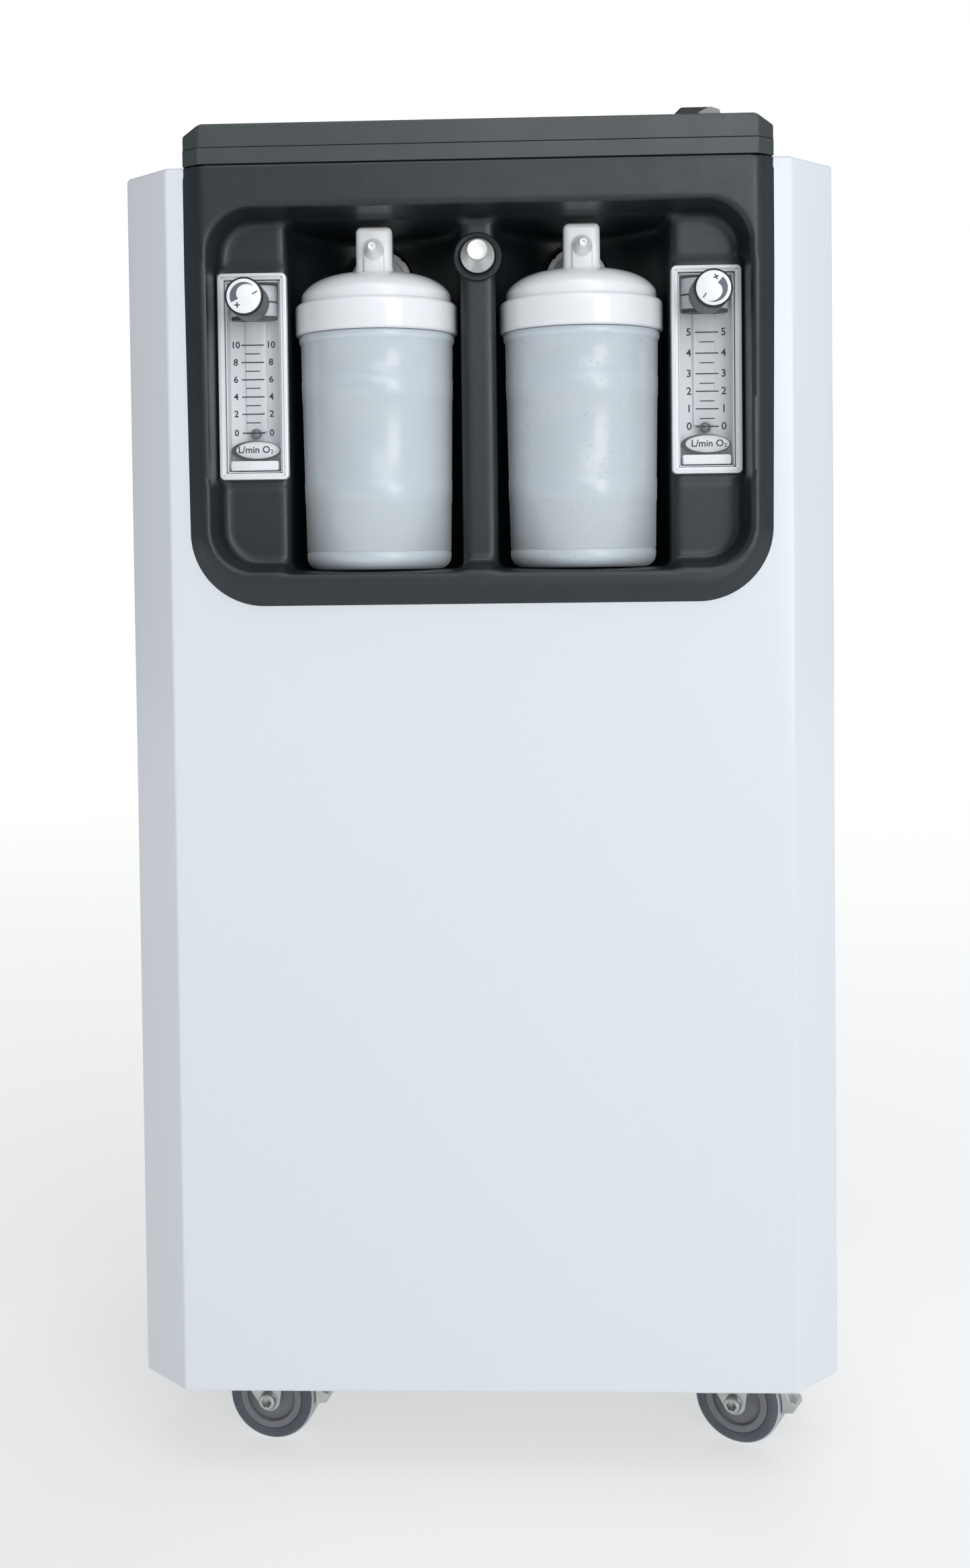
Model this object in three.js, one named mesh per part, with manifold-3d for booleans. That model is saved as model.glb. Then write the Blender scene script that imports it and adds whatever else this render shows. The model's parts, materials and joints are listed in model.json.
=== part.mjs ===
// A free-standing medical oxygen concentrator on four casters. Its dark front recess holds
// two humidifier bottles, two flow meters and a central outlet.
//
// Millimetres, +Z up, the front faces -Y. The origin is on the floor, at the middle of the
// whole object's width and depth. Most pieces are modelled in the cabinet's own axes: y = 0
// is the sheet-metal front, z = 0 is the cabinet's bottom edge. The last group moves them.

import * as THREE from 'three';
import { mergeVertices } from 'three/addons/utils/BufferGeometryUtils.js';
import Module from 'manifold-3d';

const wasm = await Module();
wasm.setup();

// ---------------------------------------------------------------- driving dimensions

const GAP = 0.3; // clearance between pieces that touch
const PAST = 1; // how far a cutting tool runs past the face it cuts
const FAR = 900; // beyond the whole object, for tools that cut everything on one side

const CABINET = { width: 380, depth: 370, height: 657, chamfer: 25.4, sheet: 1.5 };
const FLOOR_GAP = 52; // floor to the cabinet's bottom edge
const REAR_PROUD = 4.3; // filter door, proud of the rear panel
const HALF = CABINET.width / 2;

// The dark head: a front panel, a band and a cap, all with bevelled vertical corners.
const HEAD = {
  half: 155.2, // half width where it meets the cabinet front
  faceHalf: 146.5, // half width of the flat face in front of the bevels
  proud: 6.4, // how far the face stands in front of the cabinet
  faceBottom: 433.9,
  faceRadius: 30,
  bandBase: 657.3,
  capBase: 666,
  top: 678.3,
  topChamfer: 5.1,
};
const BEVEL = HEAD.half - HEAD.faceHalf;
const HEAD_BACK = CABINET.depth - 2;

const RECESS = { half: 142, base: 443, top: 634.5, radius: 23, floorY: 17.5, wall: 3 };
const BAY = { x: 56, half: 46.5, top: 631, wall: 2.5 };
const BOTTLE_Y = 38; // depth of the bottles' axes behind the cabinet front

const BOTTLE = {
  base: RECESS.base + GAP,
  jarTop: 566,
  lidBase: 571.5,
  bandTop: 588,
  domeTop: 604.5,
  portTop: 628.3,
  lidRadius: 44.5,
  jarTopRadius: 41.6,
  jarBaseRadius: 39.3,
  wall: 2,
};
// The round union nut at the back of each bay turns on the spigot of the bottle's gas pipe.
const UNION = { z: 607.4, radius: 17.8, front: 83.2, back: 91, spigot: 9.5 };
const GAS_PIPE = { z: 612.6, radius: 7 };

const METER = { x: 121.5, half: 18.6, base: 492.4, top: 603.2, y: 14, border: 3.6 };
const METER_TUBE = { radius: 4.2, depth: 11, zero: 517.5 }; // depth of the bore's axis
const FLOAT_RADIUS = 3.1;
const KNOB = { z: 586.6, radius: 10, face: -16.5, back: 12, stem: 3 };

const OUTLET = {
  z: 610, y: 14.5, collar: 13, barrel: 7.4, bore: 5.6, flare: 9, tip: 5.3, reach: 21.5,
};

const SWITCH = { x: 114.3, y: 10, half: 13.6, depth: 20, seat: 1.2, crest: 4.9, paddleTop: 5.7 };

const TRAY = { base: 12, thickness: 2, rim: 32, slotX: 60, slotPitch: 24 };
const SHELF = { z: 230, front: 30, back: 225, thickness: 2, lip: 16 };
const FAN = { x: 0, y: 130, size: 120, depth: 25, radius: 56, hub: 20 };

const CASTER = {
  x: 133,
  frontY: 62,
  rearY: CABINET.depth - 62,
  trail: 10,
  wheelRadius: 25,
  wheelHalf: 9.7,
  forkInner: 11,
  forkOuter: 13.2,
  bridgeBase: 1,
  bridgeTop: 4,
  plateHalf: 24,
};
const AXLE_Z = CASTER.wheelRadius - FLOOR_GAP;
const CASTERS = [
  { name: 'front_left', x: -CASTER.x, y: CASTER.frontY, turn: 12, brake: true },
  { name: 'front_right', x: CASTER.x, y: CASTER.frontY, turn: 27, brake: true },
  { name: 'rear_left', x: -CASTER.x, y: CASTER.rearY, turn: 4, brake: false },
  { name: 'rear_right', x: CASTER.x, y: CASTER.rearY, turn: 19, brake: false },
];

const FILTER = { z: 520, half: 70, halfHeight: 45, depth: 10 };
const INLET = { x: -110, z: 70, halfWidth: 14, halfHeight: 10.5, flange: 4, depth: 20 };
const BREAKER = { x: -60, z: 70, radius: 5 };
const LOUVRES = { x: 75, half: 60, base: 180, pitch: 14, rows: 9 };

const FRONT = -(CABINET.depth + REAR_PROUD + KNOB.face) / 2; // cabinet front, from the origin

// ---------------------------------------------------------------- shape helpers

function toManifold(geometry) {
  const bare = geometry.clone();
  bare.deleteAttribute('normal');
  bare.deleteAttribute('uv');
  const merged = mergeVertices(bare, 1e-3);
  const vertProperties = new Float32Array(merged.attributes.position.array);
  const triVerts = new Uint32Array(merged.index.array);
  return new wasm.Manifold(new wasm.Mesh({ numProp: 3, vertProperties, triVerts }));
}

function toGeometry(solid) {
  const { vertProperties, triVerts } = solid.getMesh();
  const geometry = new THREE.BufferGeometry();
  geometry.setAttribute('position', new THREE.BufferAttribute(vertProperties, 3));
  geometry.setIndex(new THREE.BufferAttribute(triVerts, 1));
  geometry.computeVertexNormals();
  return geometry;
}

function join(first, ...others) {
  return toGeometry(others.reduce((sum, g) => sum.add(toManifold(g)), toManifold(first)));
}

function cut(body, ...tools) {
  return toGeometry(tools.reduce((rest, g) => rest.subtract(toManifold(g)), toManifold(body)));
}

function overlapOf(first, second) {
  return toGeometry(toManifold(first).intersect(toManifold(second)));
}

function block([x0, x1], [y0, y1], [z0, z1]) {
  const box = new THREE.BoxGeometry(x1 - x0, y1 - y0, z1 - z0);
  return box.translate((x0 + x1) / 2, (y0 + y1) / 2, (z0 + z1) / 2);
}

function outline(points) {
  return new THREE.Shape(points.map(([u, v]) => new THREE.Vector2(u, v)));
}

// A rectangle from (u0, v0) to (u1, v1) with all four corners rounded.
function roundedRect(u0, u1, v0, v1, radius) {
  const shape = new THREE.Shape();
  shape.absarc(u1 - radius, v0 + radius, radius, -Math.PI / 2, 0);
  shape.absarc(u1 - radius, v1 - radius, radius, 0, Math.PI / 2);
  shape.absarc(u0 + radius, v1 - radius, radius, Math.PI / 2, Math.PI);
  shape.absarc(u0 + radius, v0 + radius, radius, Math.PI, 1.5 * Math.PI);
  return shape;
}

function extrude(shape, length, curveSegments = 6) {
  return new THREE.ExtrudeGeometry(shape, { depth: length, bevelEnabled: false, curveSegments });
}

// A plan outline in (x, y), raised from z0 to z1.
function prismZ(shape, z0, z1, segments) {
  return extrude(shape, z1 - z0, segments).translate(0, 0, z0);
}

// A front outline in (x, z), running from y0 back to y1.
function prismY(shape, y0, y1, segments) {
  return extrude(shape, y1 - y0, segments).rotateX(Math.PI / 2).translate(0, y1, 0);
}

// A profile of [radius, height] points, turned about the Z axis.
function turnedZ(profile, segments = 24) {
  const points = profile.map(([r, h]) => new THREE.Vector2(r, h));
  return new THREE.LatheGeometry(points, segments).rotateX(Math.PI / 2);
}

// The same, turned about the Y axis: heights run along +Y.
function turnedY(profile, segments = 24) {
  return turnedZ(profile, segments).rotateX(-Math.PI / 2);
}

function rodZ(radius, z0, z1, segments = 16) {
  return turnedZ([[0, z0], [radius, z0], [radius, z1], [0, z1]], segments);
}

function rodY(radius, y0, y1, segments = 16) {
  return turnedY([[0, y0], [radius, y0], [radius, y1], [0, y1]], segments);
}

function rodX(radius, x0, x1, segments = 16) {
  return rodZ(radius, x0, x1, segments).rotateY(Math.PI / 2);
}

function material(color, roughness, metalness = 0) {
  return new THREE.MeshStandardMaterial({ color, roughness, metalness });
}

const WHITE_PAINT = material(0xe3e8ec, 0.35);
const DARK_PLASTIC = material(0x3f4448, 0.6);
const BLACK_PLASTIC = material(0x15171a, 0.3);
const WHITE_PLASTIC = material(0xeef0f3, 0.25);
const MILKY_PLASTIC = material(0xc3ced8, 0.3);
const CLEAR_PLASTIC = material(0xdfe6ea, 0.1);
const BRIGHT_METAL = material(0xd4d4d2, 0.25, 1);
const ZINC = material(0xa9aeab, 0.4, 1);
const CAST_ALLOY = material(0xb5b8ba, 0.5, 1);
const COPPER = material(0xb87345, 0.35, 1);
const GREY_RUBBER = material(0x4c5257, 0.7);
const FOAM = material(0x2b2d2f, 1);
const BOARD_GREEN = material(0x1f5c3a, 0.5);

const cabinet = new THREE.Group();
cabinet.position.set(0, FRONT, FLOOR_GAP);

function place(name, geometry, finish, parent = cabinet) {
  const mesh = new THREE.Mesh(geometry, finish);
  mesh.name = name;
  parent.add(mesh);
  return mesh;
}

// ---------------------------------------------------------------- sheet-metal cabinet

// The cabinet's plan, drawn in from its outside by inset. The 45 degree corner moves with it.
function cabinetPlan(inset, back) {
  const half = HALF - inset;
  const slide = inset * (Math.SQRT2 - 1);
  const corner = HALF - CABINET.chamfer - slide;
  const side = CABINET.chamfer + slide;
  return outline([
    [-corner, inset], [corner, inset], [half, side], [half, back], [-half, back], [-half, side],
  ]);
}

function cabinetShell() {
  const { depth, height, sheet } = CABINET;
  const wrap = cut(
    prismZ(cabinetPlan(0, depth), 0, height),
    prismZ(cabinetPlan(sheet, depth + PAST), -PAST, height + PAST),
  );
  const topSheet = prismZ(cabinetPlan(sheet / 2, depth), height - sheet, height);
  const headSpace = block([-RECESS.half - 15, RECESS.half + 15], [-PAST, depth + PAST],
    [height - 2 * sheet, height + PAST]);
  const window = roundedRect(-RECESS.half - 5, RECESS.half + 5, RECESS.base - 6, height + 40, 20);
  const tubWindow = prismY(window, -PAST, sheet + PAST, 4);
  return cut(join(wrap, cut(topSheet, headSpace)), tubWindow);
}
place('cabinet_shell', cabinetShell(), WHITE_PAINT);

function baseTray() {
  const inset = CABINET.sheet + GAP;
  const floor = TRAY.base + TRAY.thickness;
  const back = CABINET.depth - CABINET.sheet - GAP;
  const pan = cut(
    prismZ(cabinetPlan(inset, back), TRAY.base, TRAY.rim),
    prismZ(cabinetPlan(inset + TRAY.thickness, back - TRAY.thickness), floor, TRAY.rim + PAST),
  );
  const slots = [];
  for (let x = -TRAY.slotX; x <= TRAY.slotX; x += TRAY.slotPitch) {
    slots.push(block([x - 3, x + 3], [110, 190], [TRAY.base - PAST, floor + PAST]));
  }
  return cut(pan, ...slots);
}
place('base_tray', baseTray(), ZINC);

function rearPanel() {
  const half = HALF - CABINET.sheet - GAP;
  const back = CABINET.depth;
  const front = back - CABINET.sheet;
  const through = [front - PAST, back + PAST];
  const tools = [
    block([-FILTER.half, FILTER.half], through,
      [FILTER.z - FILTER.halfHeight, FILTER.z + FILTER.halfHeight]),
    block([INLET.x - INLET.halfWidth - GAP, INLET.x + INLET.halfWidth + GAP], through,
      [INLET.z - INLET.halfHeight - GAP, INLET.z + INLET.halfHeight + GAP]),
    rodY(BREAKER.radius + GAP, ...through, 12).translate(BREAKER.x, 0, BREAKER.z),
  ];
  for (let row = 0; row < LOUVRES.rows; row += 1) {
    const z = LOUVRES.base + row * LOUVRES.pitch;
    for (const x of [-LOUVRES.x, LOUVRES.x]) {
      tools.push(block([x - LOUVRES.half, x + LOUVRES.half], through, [z - 2, z + 2]));
    }
  }
  return cut(block([-half, half], [front, back], [1, CABINET.height - CABINET.sheet - GAP]),
    ...tools);
}
place('rear_panel', rearPanel(), WHITE_PAINT);

// ---------------------------------------------------------------- dark head

// The plan shared by the band and the cap: bevelled at the two front corners.
function headPlan(inset) {
  const half = HEAD.half - inset;
  const front = inset - HEAD.proud;
  const faceHalf = HEAD.faceHalf - inset * 0.5;
  const side = HEAD.proud + front;
  return outline([
    [-faceHalf, front], [faceHalf, front], [half, side], [half, HEAD_BACK - inset],
    [-half, HEAD_BACK - inset], [-half, side],
  ]);
}

function bayPlan(x, margin) {
  const shape = new THREE.Shape();
  const half = BAY.half + margin;
  shape.moveTo(x - half, -HEAD.proud - PAST);
  shape.lineTo(x + half, -HEAD.proud - PAST);
  shape.absarc(x, BOTTLE_Y, half, 0, Math.PI);
  return shape;
}

function frontPanel() {
  const faceTop = CABINET.height + HEAD.faceRadius; // its round top corners are cut away
  const face = roundedRect(-HEAD.faceHalf, HEAD.faceHalf, HEAD.faceBottom, faceTop,
    HEAD.faceRadius);
  const rim = new THREE.ExtrudeGeometry(face, {
    depth: 4, bevelThickness: HEAD.proud, bevelSize: BEVEL, bevelSegments: 1, curveSegments: 8,
  }).rotateX(Math.PI / 2).translate(0, 4, 0);
  const rimOnly = cut(rim,
    block([-FAR, FAR], [-GAP, FAR], [0, FAR]),
    block([-FAR, FAR], [-FAR, FAR], [CABINET.height, FAR]));

  const { half, base, top, radius, floorY, wall } = RECESS;
  const tub = roundedRect(-half - wall, half + wall, base - wall, top + wall, radius + wall);
  const recess = roundedRect(-half, half, base, top, radius);
  const body = join(
    rimOnly,
    prismY(tub, -HEAD.proud + PAST, floorY + wall, 6),
    ...[-BAY.x, BAY.x].map((x) => cut(
      prismZ(bayPlan(x, BAY.wall), base - wall, BAY.top + wall, 10),
      block([-FAR, FAR], [-FAR, 0], [0, FAR]),
    )),
    ...[-BAY.x, BAY.x].map((x) => (
      rodY(UNION.radius + 3.3, 70, UNION.back + 4.5, 20).translate(x, 0, UNION.z)
    )),
  );
  const meterHoles = [-METER.x, METER.x].map((x) => {
    const reach = METER.half - METER.border + GAP;
    return block([x - reach, x + reach], [floorY - PAST, floorY + wall + PAST],
      [METER.base + METER.border - GAP, METER.top - METER.border + GAP]);
  });
  const unionPockets = [-BAY.x, BAY.x].map((x) => join(
    rodY(UNION.radius + 0.8, 60, UNION.back + 2, 20).translate(x, 0, UNION.z),
    rodY(4, UNION.back, UNION.back + 9, 12).translate(x, 0, UNION.z),
  ));
  const outletHole = rodY(OUTLET.barrel + GAP, 0, 40, 16).translate(0, 0, OUTLET.z);
  return cut(
    body,
    prismY(recess, -HEAD.proud - PAST, floorY, 6),
    ...[-BAY.x, BAY.x].map((x) => prismZ(bayPlan(x, 0), base, BAY.top, 10)),
    ...meterHoles, ...unionPockets, outletHole,
  );
}
place('front_panel', frontPanel(), DARK_PLASTIC);

function headBand() {
  return cut(
    prismZ(headPlan(0), HEAD.bandBase, HEAD.capBase - GAP),
    prismZ(headPlan(10), HEAD.bandBase - PAST, HEAD.capBase + PAST),
  );
}
place('head_band', headBand(), DARK_PLASTIC);

function topCap() {
  const { half, top, topChamfer, capBase } = HEAD;
  const cross = outline([
    [-half, capBase], [half, capBase], [half, top - topChamfer], [half - 10.4, top],
    [-half + 10.4, top], [-half, top - topChamfer],
  ]);
  const outer = overlapOf(
    prismY(cross, -50, HEAD_BACK + 50),
    prismZ(headPlan(0), capBase, top + PAST),
  );
  const { x, y, half: rimHalf, depth, seat } = SWITCH;
  const switchSeat = block([x - rimHalf - GAP, x + rimHalf + GAP],
    [y - depth / 2 - GAP, y + depth / 2 + GAP], [top - seat, top + PAST]);
  const switchHole = block([x - rimHalf + 1, x + rimHalf - 1],
    [y - depth / 2 + 1.5, y + depth / 2 - 1.5], [capBase, top]);
  const hollow = prismZ(headPlan(2.5), capBase - PAST, top - 3.5);
  return cut(outer, hollow, switchSeat, switchHole);
}
place('top_cap', topCap(), DARK_PLASTIC);

// The power switch's frame stands in a seat in the cap. Its rim climbs to a crest at the right.
const PADDLE = { half: 10.2, halfDepth: 6.3, pivotZ: HEAD.top + 0.5 };

function switchFrame() {
  const { x, y, half, depth, seat, crest } = SWITCH;
  const base = HEAD.top - seat + GAP;
  const rim = overlapOf(
    prismZ(roundedRect(x - half, x + half, y - depth / 2, y + depth / 2, 4), base,
      HEAD.top + crest + PAST, 3),
    prismY(outline([
      [x - half - PAST, base - PAST], [x + half + PAST, base - PAST],
      [x + half + PAST, HEAD.top + 2.6], [x + half * 0.61, HEAD.top + crest],
      [x, HEAD.top + 1.6], [x - half - PAST, HEAD.top + 1.2],
    ]), y - depth, y + depth),
  );
  const housing = block([x - half + 1.3, x + half - 1.3], [y - 8.2, y + 8.2],
    [HEAD.top - 12, base + PAST]);
  const well = block([x - PADDLE.half - 0.9, x + PADDLE.half + 0.9],
    [y - PADDLE.halfDepth - 0.4, y + PADDLE.halfDepth + 0.4], [HEAD.top - 9, HEAD.top + 20]);
  return cut(join(rim, housing), well);
}
place('switch_frame', switchFrame(), DARK_PLASTIC);

function switchPaddle() {
  const { half, halfDepth, pivotZ } = PADDLE;
  const rise = HEAD.top + SWITCH.paddleTop - pivotZ;
  const side = outline([
    [-half, -2.6], [-3, -5.5], [3, -5.5], [half, -1.2], [half, rise - 0.4],
    [half - 1, rise], [-half + 3.5, rise], [-half, rise - 3.4],
  ]);
  return prismY(side, SWITCH.y - halfDepth, SWITCH.y + halfDepth)
    .translate(SWITCH.x, 0, pivotZ);
}
place('switch_paddle', switchPaddle(), BLACK_PLASTIC);

// ---------------------------------------------------------------- flow meters

function flowMeter(side, x) {
  const { half, base, top, y, border } = METER;
  const frame = cut(
    prismY(roundedRect(-half, half, base, top, 2.5), y, RECESS.floorY - GAP, 2),
    block([-half + border, half - border], [y - PAST, RECESS.floorY + PAST],
      [base + border, top - border]),
  );
  place(`flow_bezel_${side}`, frame.translate(x, 0, 0), WHITE_PLASTIC);

  // The acrylic block has a bore up its middle, open at the top, and a valve hole in front.
  const inner = half - border - GAP;
  const blockTop = top - border - GAP;
  const depth = y + METER_TUBE.depth;
  const bore = rodZ(METER_TUBE.radius, METER_TUBE.zero - FLOAT_RADIUS - 0.5, blockTop + PAST, 12)
    .translate(0, depth, 0);
  const valveHole = rodY(KNOB.stem + 0.4, y - PAST, depth, 12).translate(0, 0, KNOB.z);
  const body = cut(
    block([-inner, inner], [y + 1.2, y + 26], [base + border + GAP, blockTop]),
    bore, valveHole,
  );
  place(`flow_tube_${side}`, body.translate(x, 0, 0), CLEAR_PLASTIC);

  const ball = new THREE.SphereGeometry(FLOAT_RADIUS, 12, 8)
    .translate(x, depth, METER_TUBE.zero);
  place(`flow_float_${side}`, ball, BLACK_PLASTIC);

  const { radius, face, back, stem } = KNOB;
  const knob = turnedY([
    [0, face], [radius - 0.6, face], [radius, face + 0.6], [radius, back],
    [stem, back], [stem, y + 5], [0, y + 5],
  ], 20).translate(x, 0, KNOB.z);
  place(`flow_knob_${side}`, knob, DARK_PLASTIC);
}
flowMeter('left', -METER.x);
flowMeter('right', METER.x);

// ---------------------------------------------------------------- humidifier bottles

function humidifier(side, x) {
  const group = new THREE.Group();
  group.position.set(x, BOTTLE_Y, 0);
  cabinet.add(group);
  const { base, jarTop, lidBase, bandTop, domeTop, lidRadius, wall } = BOTTLE;
  const { jarTopRadius, jarBaseRadius } = BOTTLE;

  // Drafted jar, open at the top, its base corner and shoulder rounded.
  const jar = turnedZ([
    [0, base], [jarBaseRadius - 7, base], [jarBaseRadius - 2, base + 2.5],
    [jarBaseRadius, base + 8], [jarTopRadius, jarTop], [jarTopRadius - 1.5, jarTop],
    [jarTopRadius - 1.5, jarTop + 15], [jarTopRadius - 1.5 - wall, jarTop + 15],
    [jarTopRadius - wall - 1.5, jarTop], [jarBaseRadius - wall, base + 9],
    [jarBaseRadius - 8, base + 2.5], [0, base + 2.5],
  ], 24);
  place(`jar_${side}`, jar, MILKY_PLASTIC, group);

  // The lid screws over the jar's neck. A block on its dome carries the two ports.
  const skirt = jarTopRadius - 1.5 + GAP;
  const dome = (lift) => [
    [lidRadius - 3.5 + lift, bandTop + 1.5 + lift], [40.2 + lift, bandTop + 5.3 + lift],
    [36 + lift, domeTop - 6.2 + lift], [29 + lift, domeTop - 2.8 + lift],
    [17 + lift, domeTop - 0.5 + lift], [0, domeTop + lift],
  ];
  const shell = turnedZ([
    [skirt, lidBase - 4.5], [lidRadius - 2.5, lidBase - 4.5], [lidRadius - 1.5, lidBase],
    [lidRadius, lidBase + 1], [lidRadius, bandTop - 3], [lidRadius - 1.5, bandTop], ...dome(0),
    [0, domeTop - 2.5], [17, domeTop - 3], [28, domeTop - 5.4], [34, domeTop - 8.8],
    [38, bandTop + 3], [skirt, bandTop - 5], [skirt, lidBase - 4.5],
  ], 24);
  place(`lid_${side}`, shell, WHITE_PLASTIC, group);

  // A block on the dome carries the patient's nozzle in front and the gas pipe behind.
  const towerY = -8;
  const tower = cut(
    prismZ(roundedRect(-9.8, 9.8, towerY - 8, towerY + 8, 3), domeTop - 5, BOTTLE.portTop, 3),
    turnedZ([[0, lidBase], [lidRadius, lidBase], ...dome(GAP)], 24),
  );
  const nozzle = turnedY([
    [0, -25], [2.2, -25], [3, -23], [2.6, -19], [4.2, -16], [4.2, -6], [0, -6],
  ], 10).translate(0, towerY, 615);
  const front = UNION.front - BOTTLE_Y;
  const back = UNION.back - BOTTLE_Y;
  const pipe = rodY(GAS_PIPE.radius, towerY, front - 6, 14).translate(0, 0, GAS_PIPE.z);
  const spigot = rodY(UNION.spigot, front - 8, front + 4, 16).translate(0, 0, UNION.z);
  place(`lid_port_${side}`, join(tower, nozzle, pipe, spigot), WHITE_PLASTIC, group);

  const nut = cut(
    rodY(UNION.radius, front, back, 24),
    rodY(UNION.spigot + GAP, front - PAST, front + 4 + GAP, 16),
    rodY(4, front, back + PAST, 12),
  ).translate(0, 0, UNION.z);
  place(`union_nut_${side}`, nut, WHITE_PLASTIC, group);

  // The dip tube hangs from the lid and ends in a bubbling stone just off the jar's floor.
  const dip = turnedZ([
    [0, base + 8], [6, base + 8], [6, base + 22], [2.6, base + 24],
    [2.6, domeTop - 3.4], [0, domeTop - 3.4],
  ], 12);
  place(`dip_tube_${side}`, dip, MILKY_PLASTIC, group);
}
humidifier('left', -BAY.x);
humidifier('right', BAY.x);

// ---------------------------------------------------------------- central outlet

function centralOutlet() {
  const { z, y, collar, barrel, bore, flare, tip, reach } = OUTLET;
  const socket = cut(
    join(
      turnedY([
        [0, y], [collar - 1, y], [collar, y + 1], [collar, RECESS.floorY - GAP],
        [0, RECESS.floorY - GAP],
      ], 28),
      rodY(barrel, y + 2, 34, 16),
    ),
    rodY(bore, y - PAST, 30, 16),
  );
  place('outlet_socket', socket.translate(0, 0, z), DARK_PLASTIC);

  const plug = turnedY([
    [0, y - reach], [tip - 0.4, y - reach], [tip, y - reach + 0.5], [tip, y - reach + 5.5],
    [tip - 1, y - reach + 6.5], [flare, y - 3], [flare, y - 0.4],
    [bore - GAP, y - 0.4], [bore - GAP, y + 12], [0, y + 12],
  ], 24);
  place('outlet_plug', plug.translate(0, 0, z), BRIGHT_METAL);
}
centralOutlet();

// ---------------------------------------------------------------- rear fittings

function intakeFilter() {
  const { z, half, halfHeight, depth } = FILTER;
  const back = CABINET.depth - CABINET.sheet - GAP;
  return block([-half - 5, half + 5], [back - depth, back], [z - halfHeight - 5, z + halfHeight + 5]);
}
place('intake_filter', intakeFilter(), FOAM);

function filterDoor() {
  const { z, half, halfHeight } = FILTER;
  const y0 = CABINET.depth + GAP;
  const y1 = CABINET.depth + REAR_PROUD;
  const panel = prismY(roundedRect(-half - 8, half + 8, z - halfHeight - 8, z + halfHeight + 8, 6),
    y0, y1, 3);
  const slots = [];
  for (let row = -3; row <= 3; row += 1) {
    slots.push(block([-half + 6, half - 6], [y0 - PAST, y1 + PAST],
      [z + row * 11 - 2, z + row * 11 + 2]));
  }
  return cut(panel, ...slots);
}
place('filter_door', filterDoor(), DARK_PLASTIC);

function powerInlet() {
  const { x, z, halfWidth, halfHeight, flange, depth } = INLET;
  const back = CABINET.depth;
  const shroud = cut(
    join(
      block([-halfWidth - flange, halfWidth + flange], [back + GAP, back + 2.5],
        [-halfHeight - flange, halfHeight + flange]),
      block([-halfWidth, halfWidth], [back - depth, back + 1], [-halfHeight, halfHeight]),
    ),
    block([-halfWidth + 2, halfWidth - 2], [back - depth + 3, back + 5],
      [-halfHeight + 2, halfHeight - 2]),
  );
  const blades = [[-7, 1], [0, 5], [7, 1]].map(([u, w]) => (
    block([u - 1, u + 1], [back - depth + 1, back - 2], [w - 2, w + 2])
  ));
  return join(shroud, ...blades).translate(x, 0, z);
}
place('power_inlet', powerInlet(), BLACK_PLASTIC);

function breakerButton() {
  const { x, z, radius } = BREAKER;
  const back = CABINET.depth;
  return turnedY([
    [0, back - 14], [radius, back - 14], [radius, back + 2.2], [radius - 1, back + 3.4],
    [0, back + 3.4],
  ], 16).translate(x, 0, z);
}
place('breaker_button', breakerButton(), BLACK_PLASTIC);

// ---------------------------------------------------------------- inside the cabinet

const TRAY_TOP = TRAY.base + TRAY.thickness + GAP;

// Two upright cylinders on a motor that lies across the cabinet, on four rubber feet.
const COMPRESSOR = {
  y: 130, z: 92, motorRadius: 50, motorHalf: 60, endRadius: 38, endHalf: 105,
  cylinderX: 62, cylinderRadius: 34, cylinderTop: 62, headTop: 82, footX: 80, footY: 38,
};

function compressor() {
  const { y, z, motorRadius, motorHalf, endRadius, endHalf, footX, footY } = COMPRESSOR;
  const { cylinderX, cylinderRadius, cylinderTop, headTop } = COMPRESSOR;
  const heads = [-cylinderX, cylinderX].flatMap((x) => [
    rodZ(cylinderRadius, z, z + cylinderTop, 12).translate(x, y, 0),
    block([x - cylinderRadius, x + cylinderRadius], [y - cylinderRadius, y + cylinderRadius],
      [z + cylinderTop - PAST, z + headTop]),
  ]);
  const feet = [-footX, footX].flatMap((x) => [-footY, footY].map((dy) => (
    rodZ(9, TRAY_TOP, z - endRadius + 8, 8).translate(x, y + dy, 0)
  )));
  const plate = block([-footX - 12, footX + 12], [y - footY - 8, y + footY + 8],
    [z - endRadius - 8, z - endRadius + 2]);
  return join(
    rodX(motorRadius, -motorHalf, motorHalf, 16).translate(0, y, z),
    rodX(endRadius, -endHalf, endHalf, 12).translate(0, y, z),
    plate, ...heads, ...feet,
  );
}
place('compressor', compressor(), CAST_ALLOY);

// The two sieve towers stand side by side behind the compressor, with the tank beside them.
const TOWER = { x: 48, y: 300, radius: 38, flange: 42, top: 424, flangeHeight: 16 };

function sieveTower(x) {
  const { y, radius, flange, top, flangeHeight } = TOWER;
  const foot = TRAY_TOP + flangeHeight;
  return turnedZ([
    [0, TRAY_TOP], [flange, TRAY_TOP], [flange, foot], [radius, foot],
    [radius, top - flangeHeight], [flange, top - flangeHeight], [flange, top], [0, top],
  ], 16).translate(x, y, 0);
}
place('sieve_tower_left', sieveTower(-TOWER.x), CAST_ALLOY);
place('sieve_tower_right', sieveTower(TOWER.x), CAST_ALLOY);

const TANK = { x: 140, radius: 31, shoulder: 320, top: 336, neck: 6, neckTop: 348 };

function oxygenTank() {
  const { x, radius, shoulder, top, neck, neckTop } = TANK;
  return turnedZ([
    [0, TRAY_TOP], [radius - 7, TRAY_TOP], [radius, TRAY_TOP + 14], [radius, shoulder],
    [radius - 9, top - 2], [neck, top], [neck, neckTop], [0, neckTop],
  ], 16).translate(x, TOWER.y, 0);
}
place('oxygen_tank', oxygenTank(), WHITE_PLASTIC);

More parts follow.
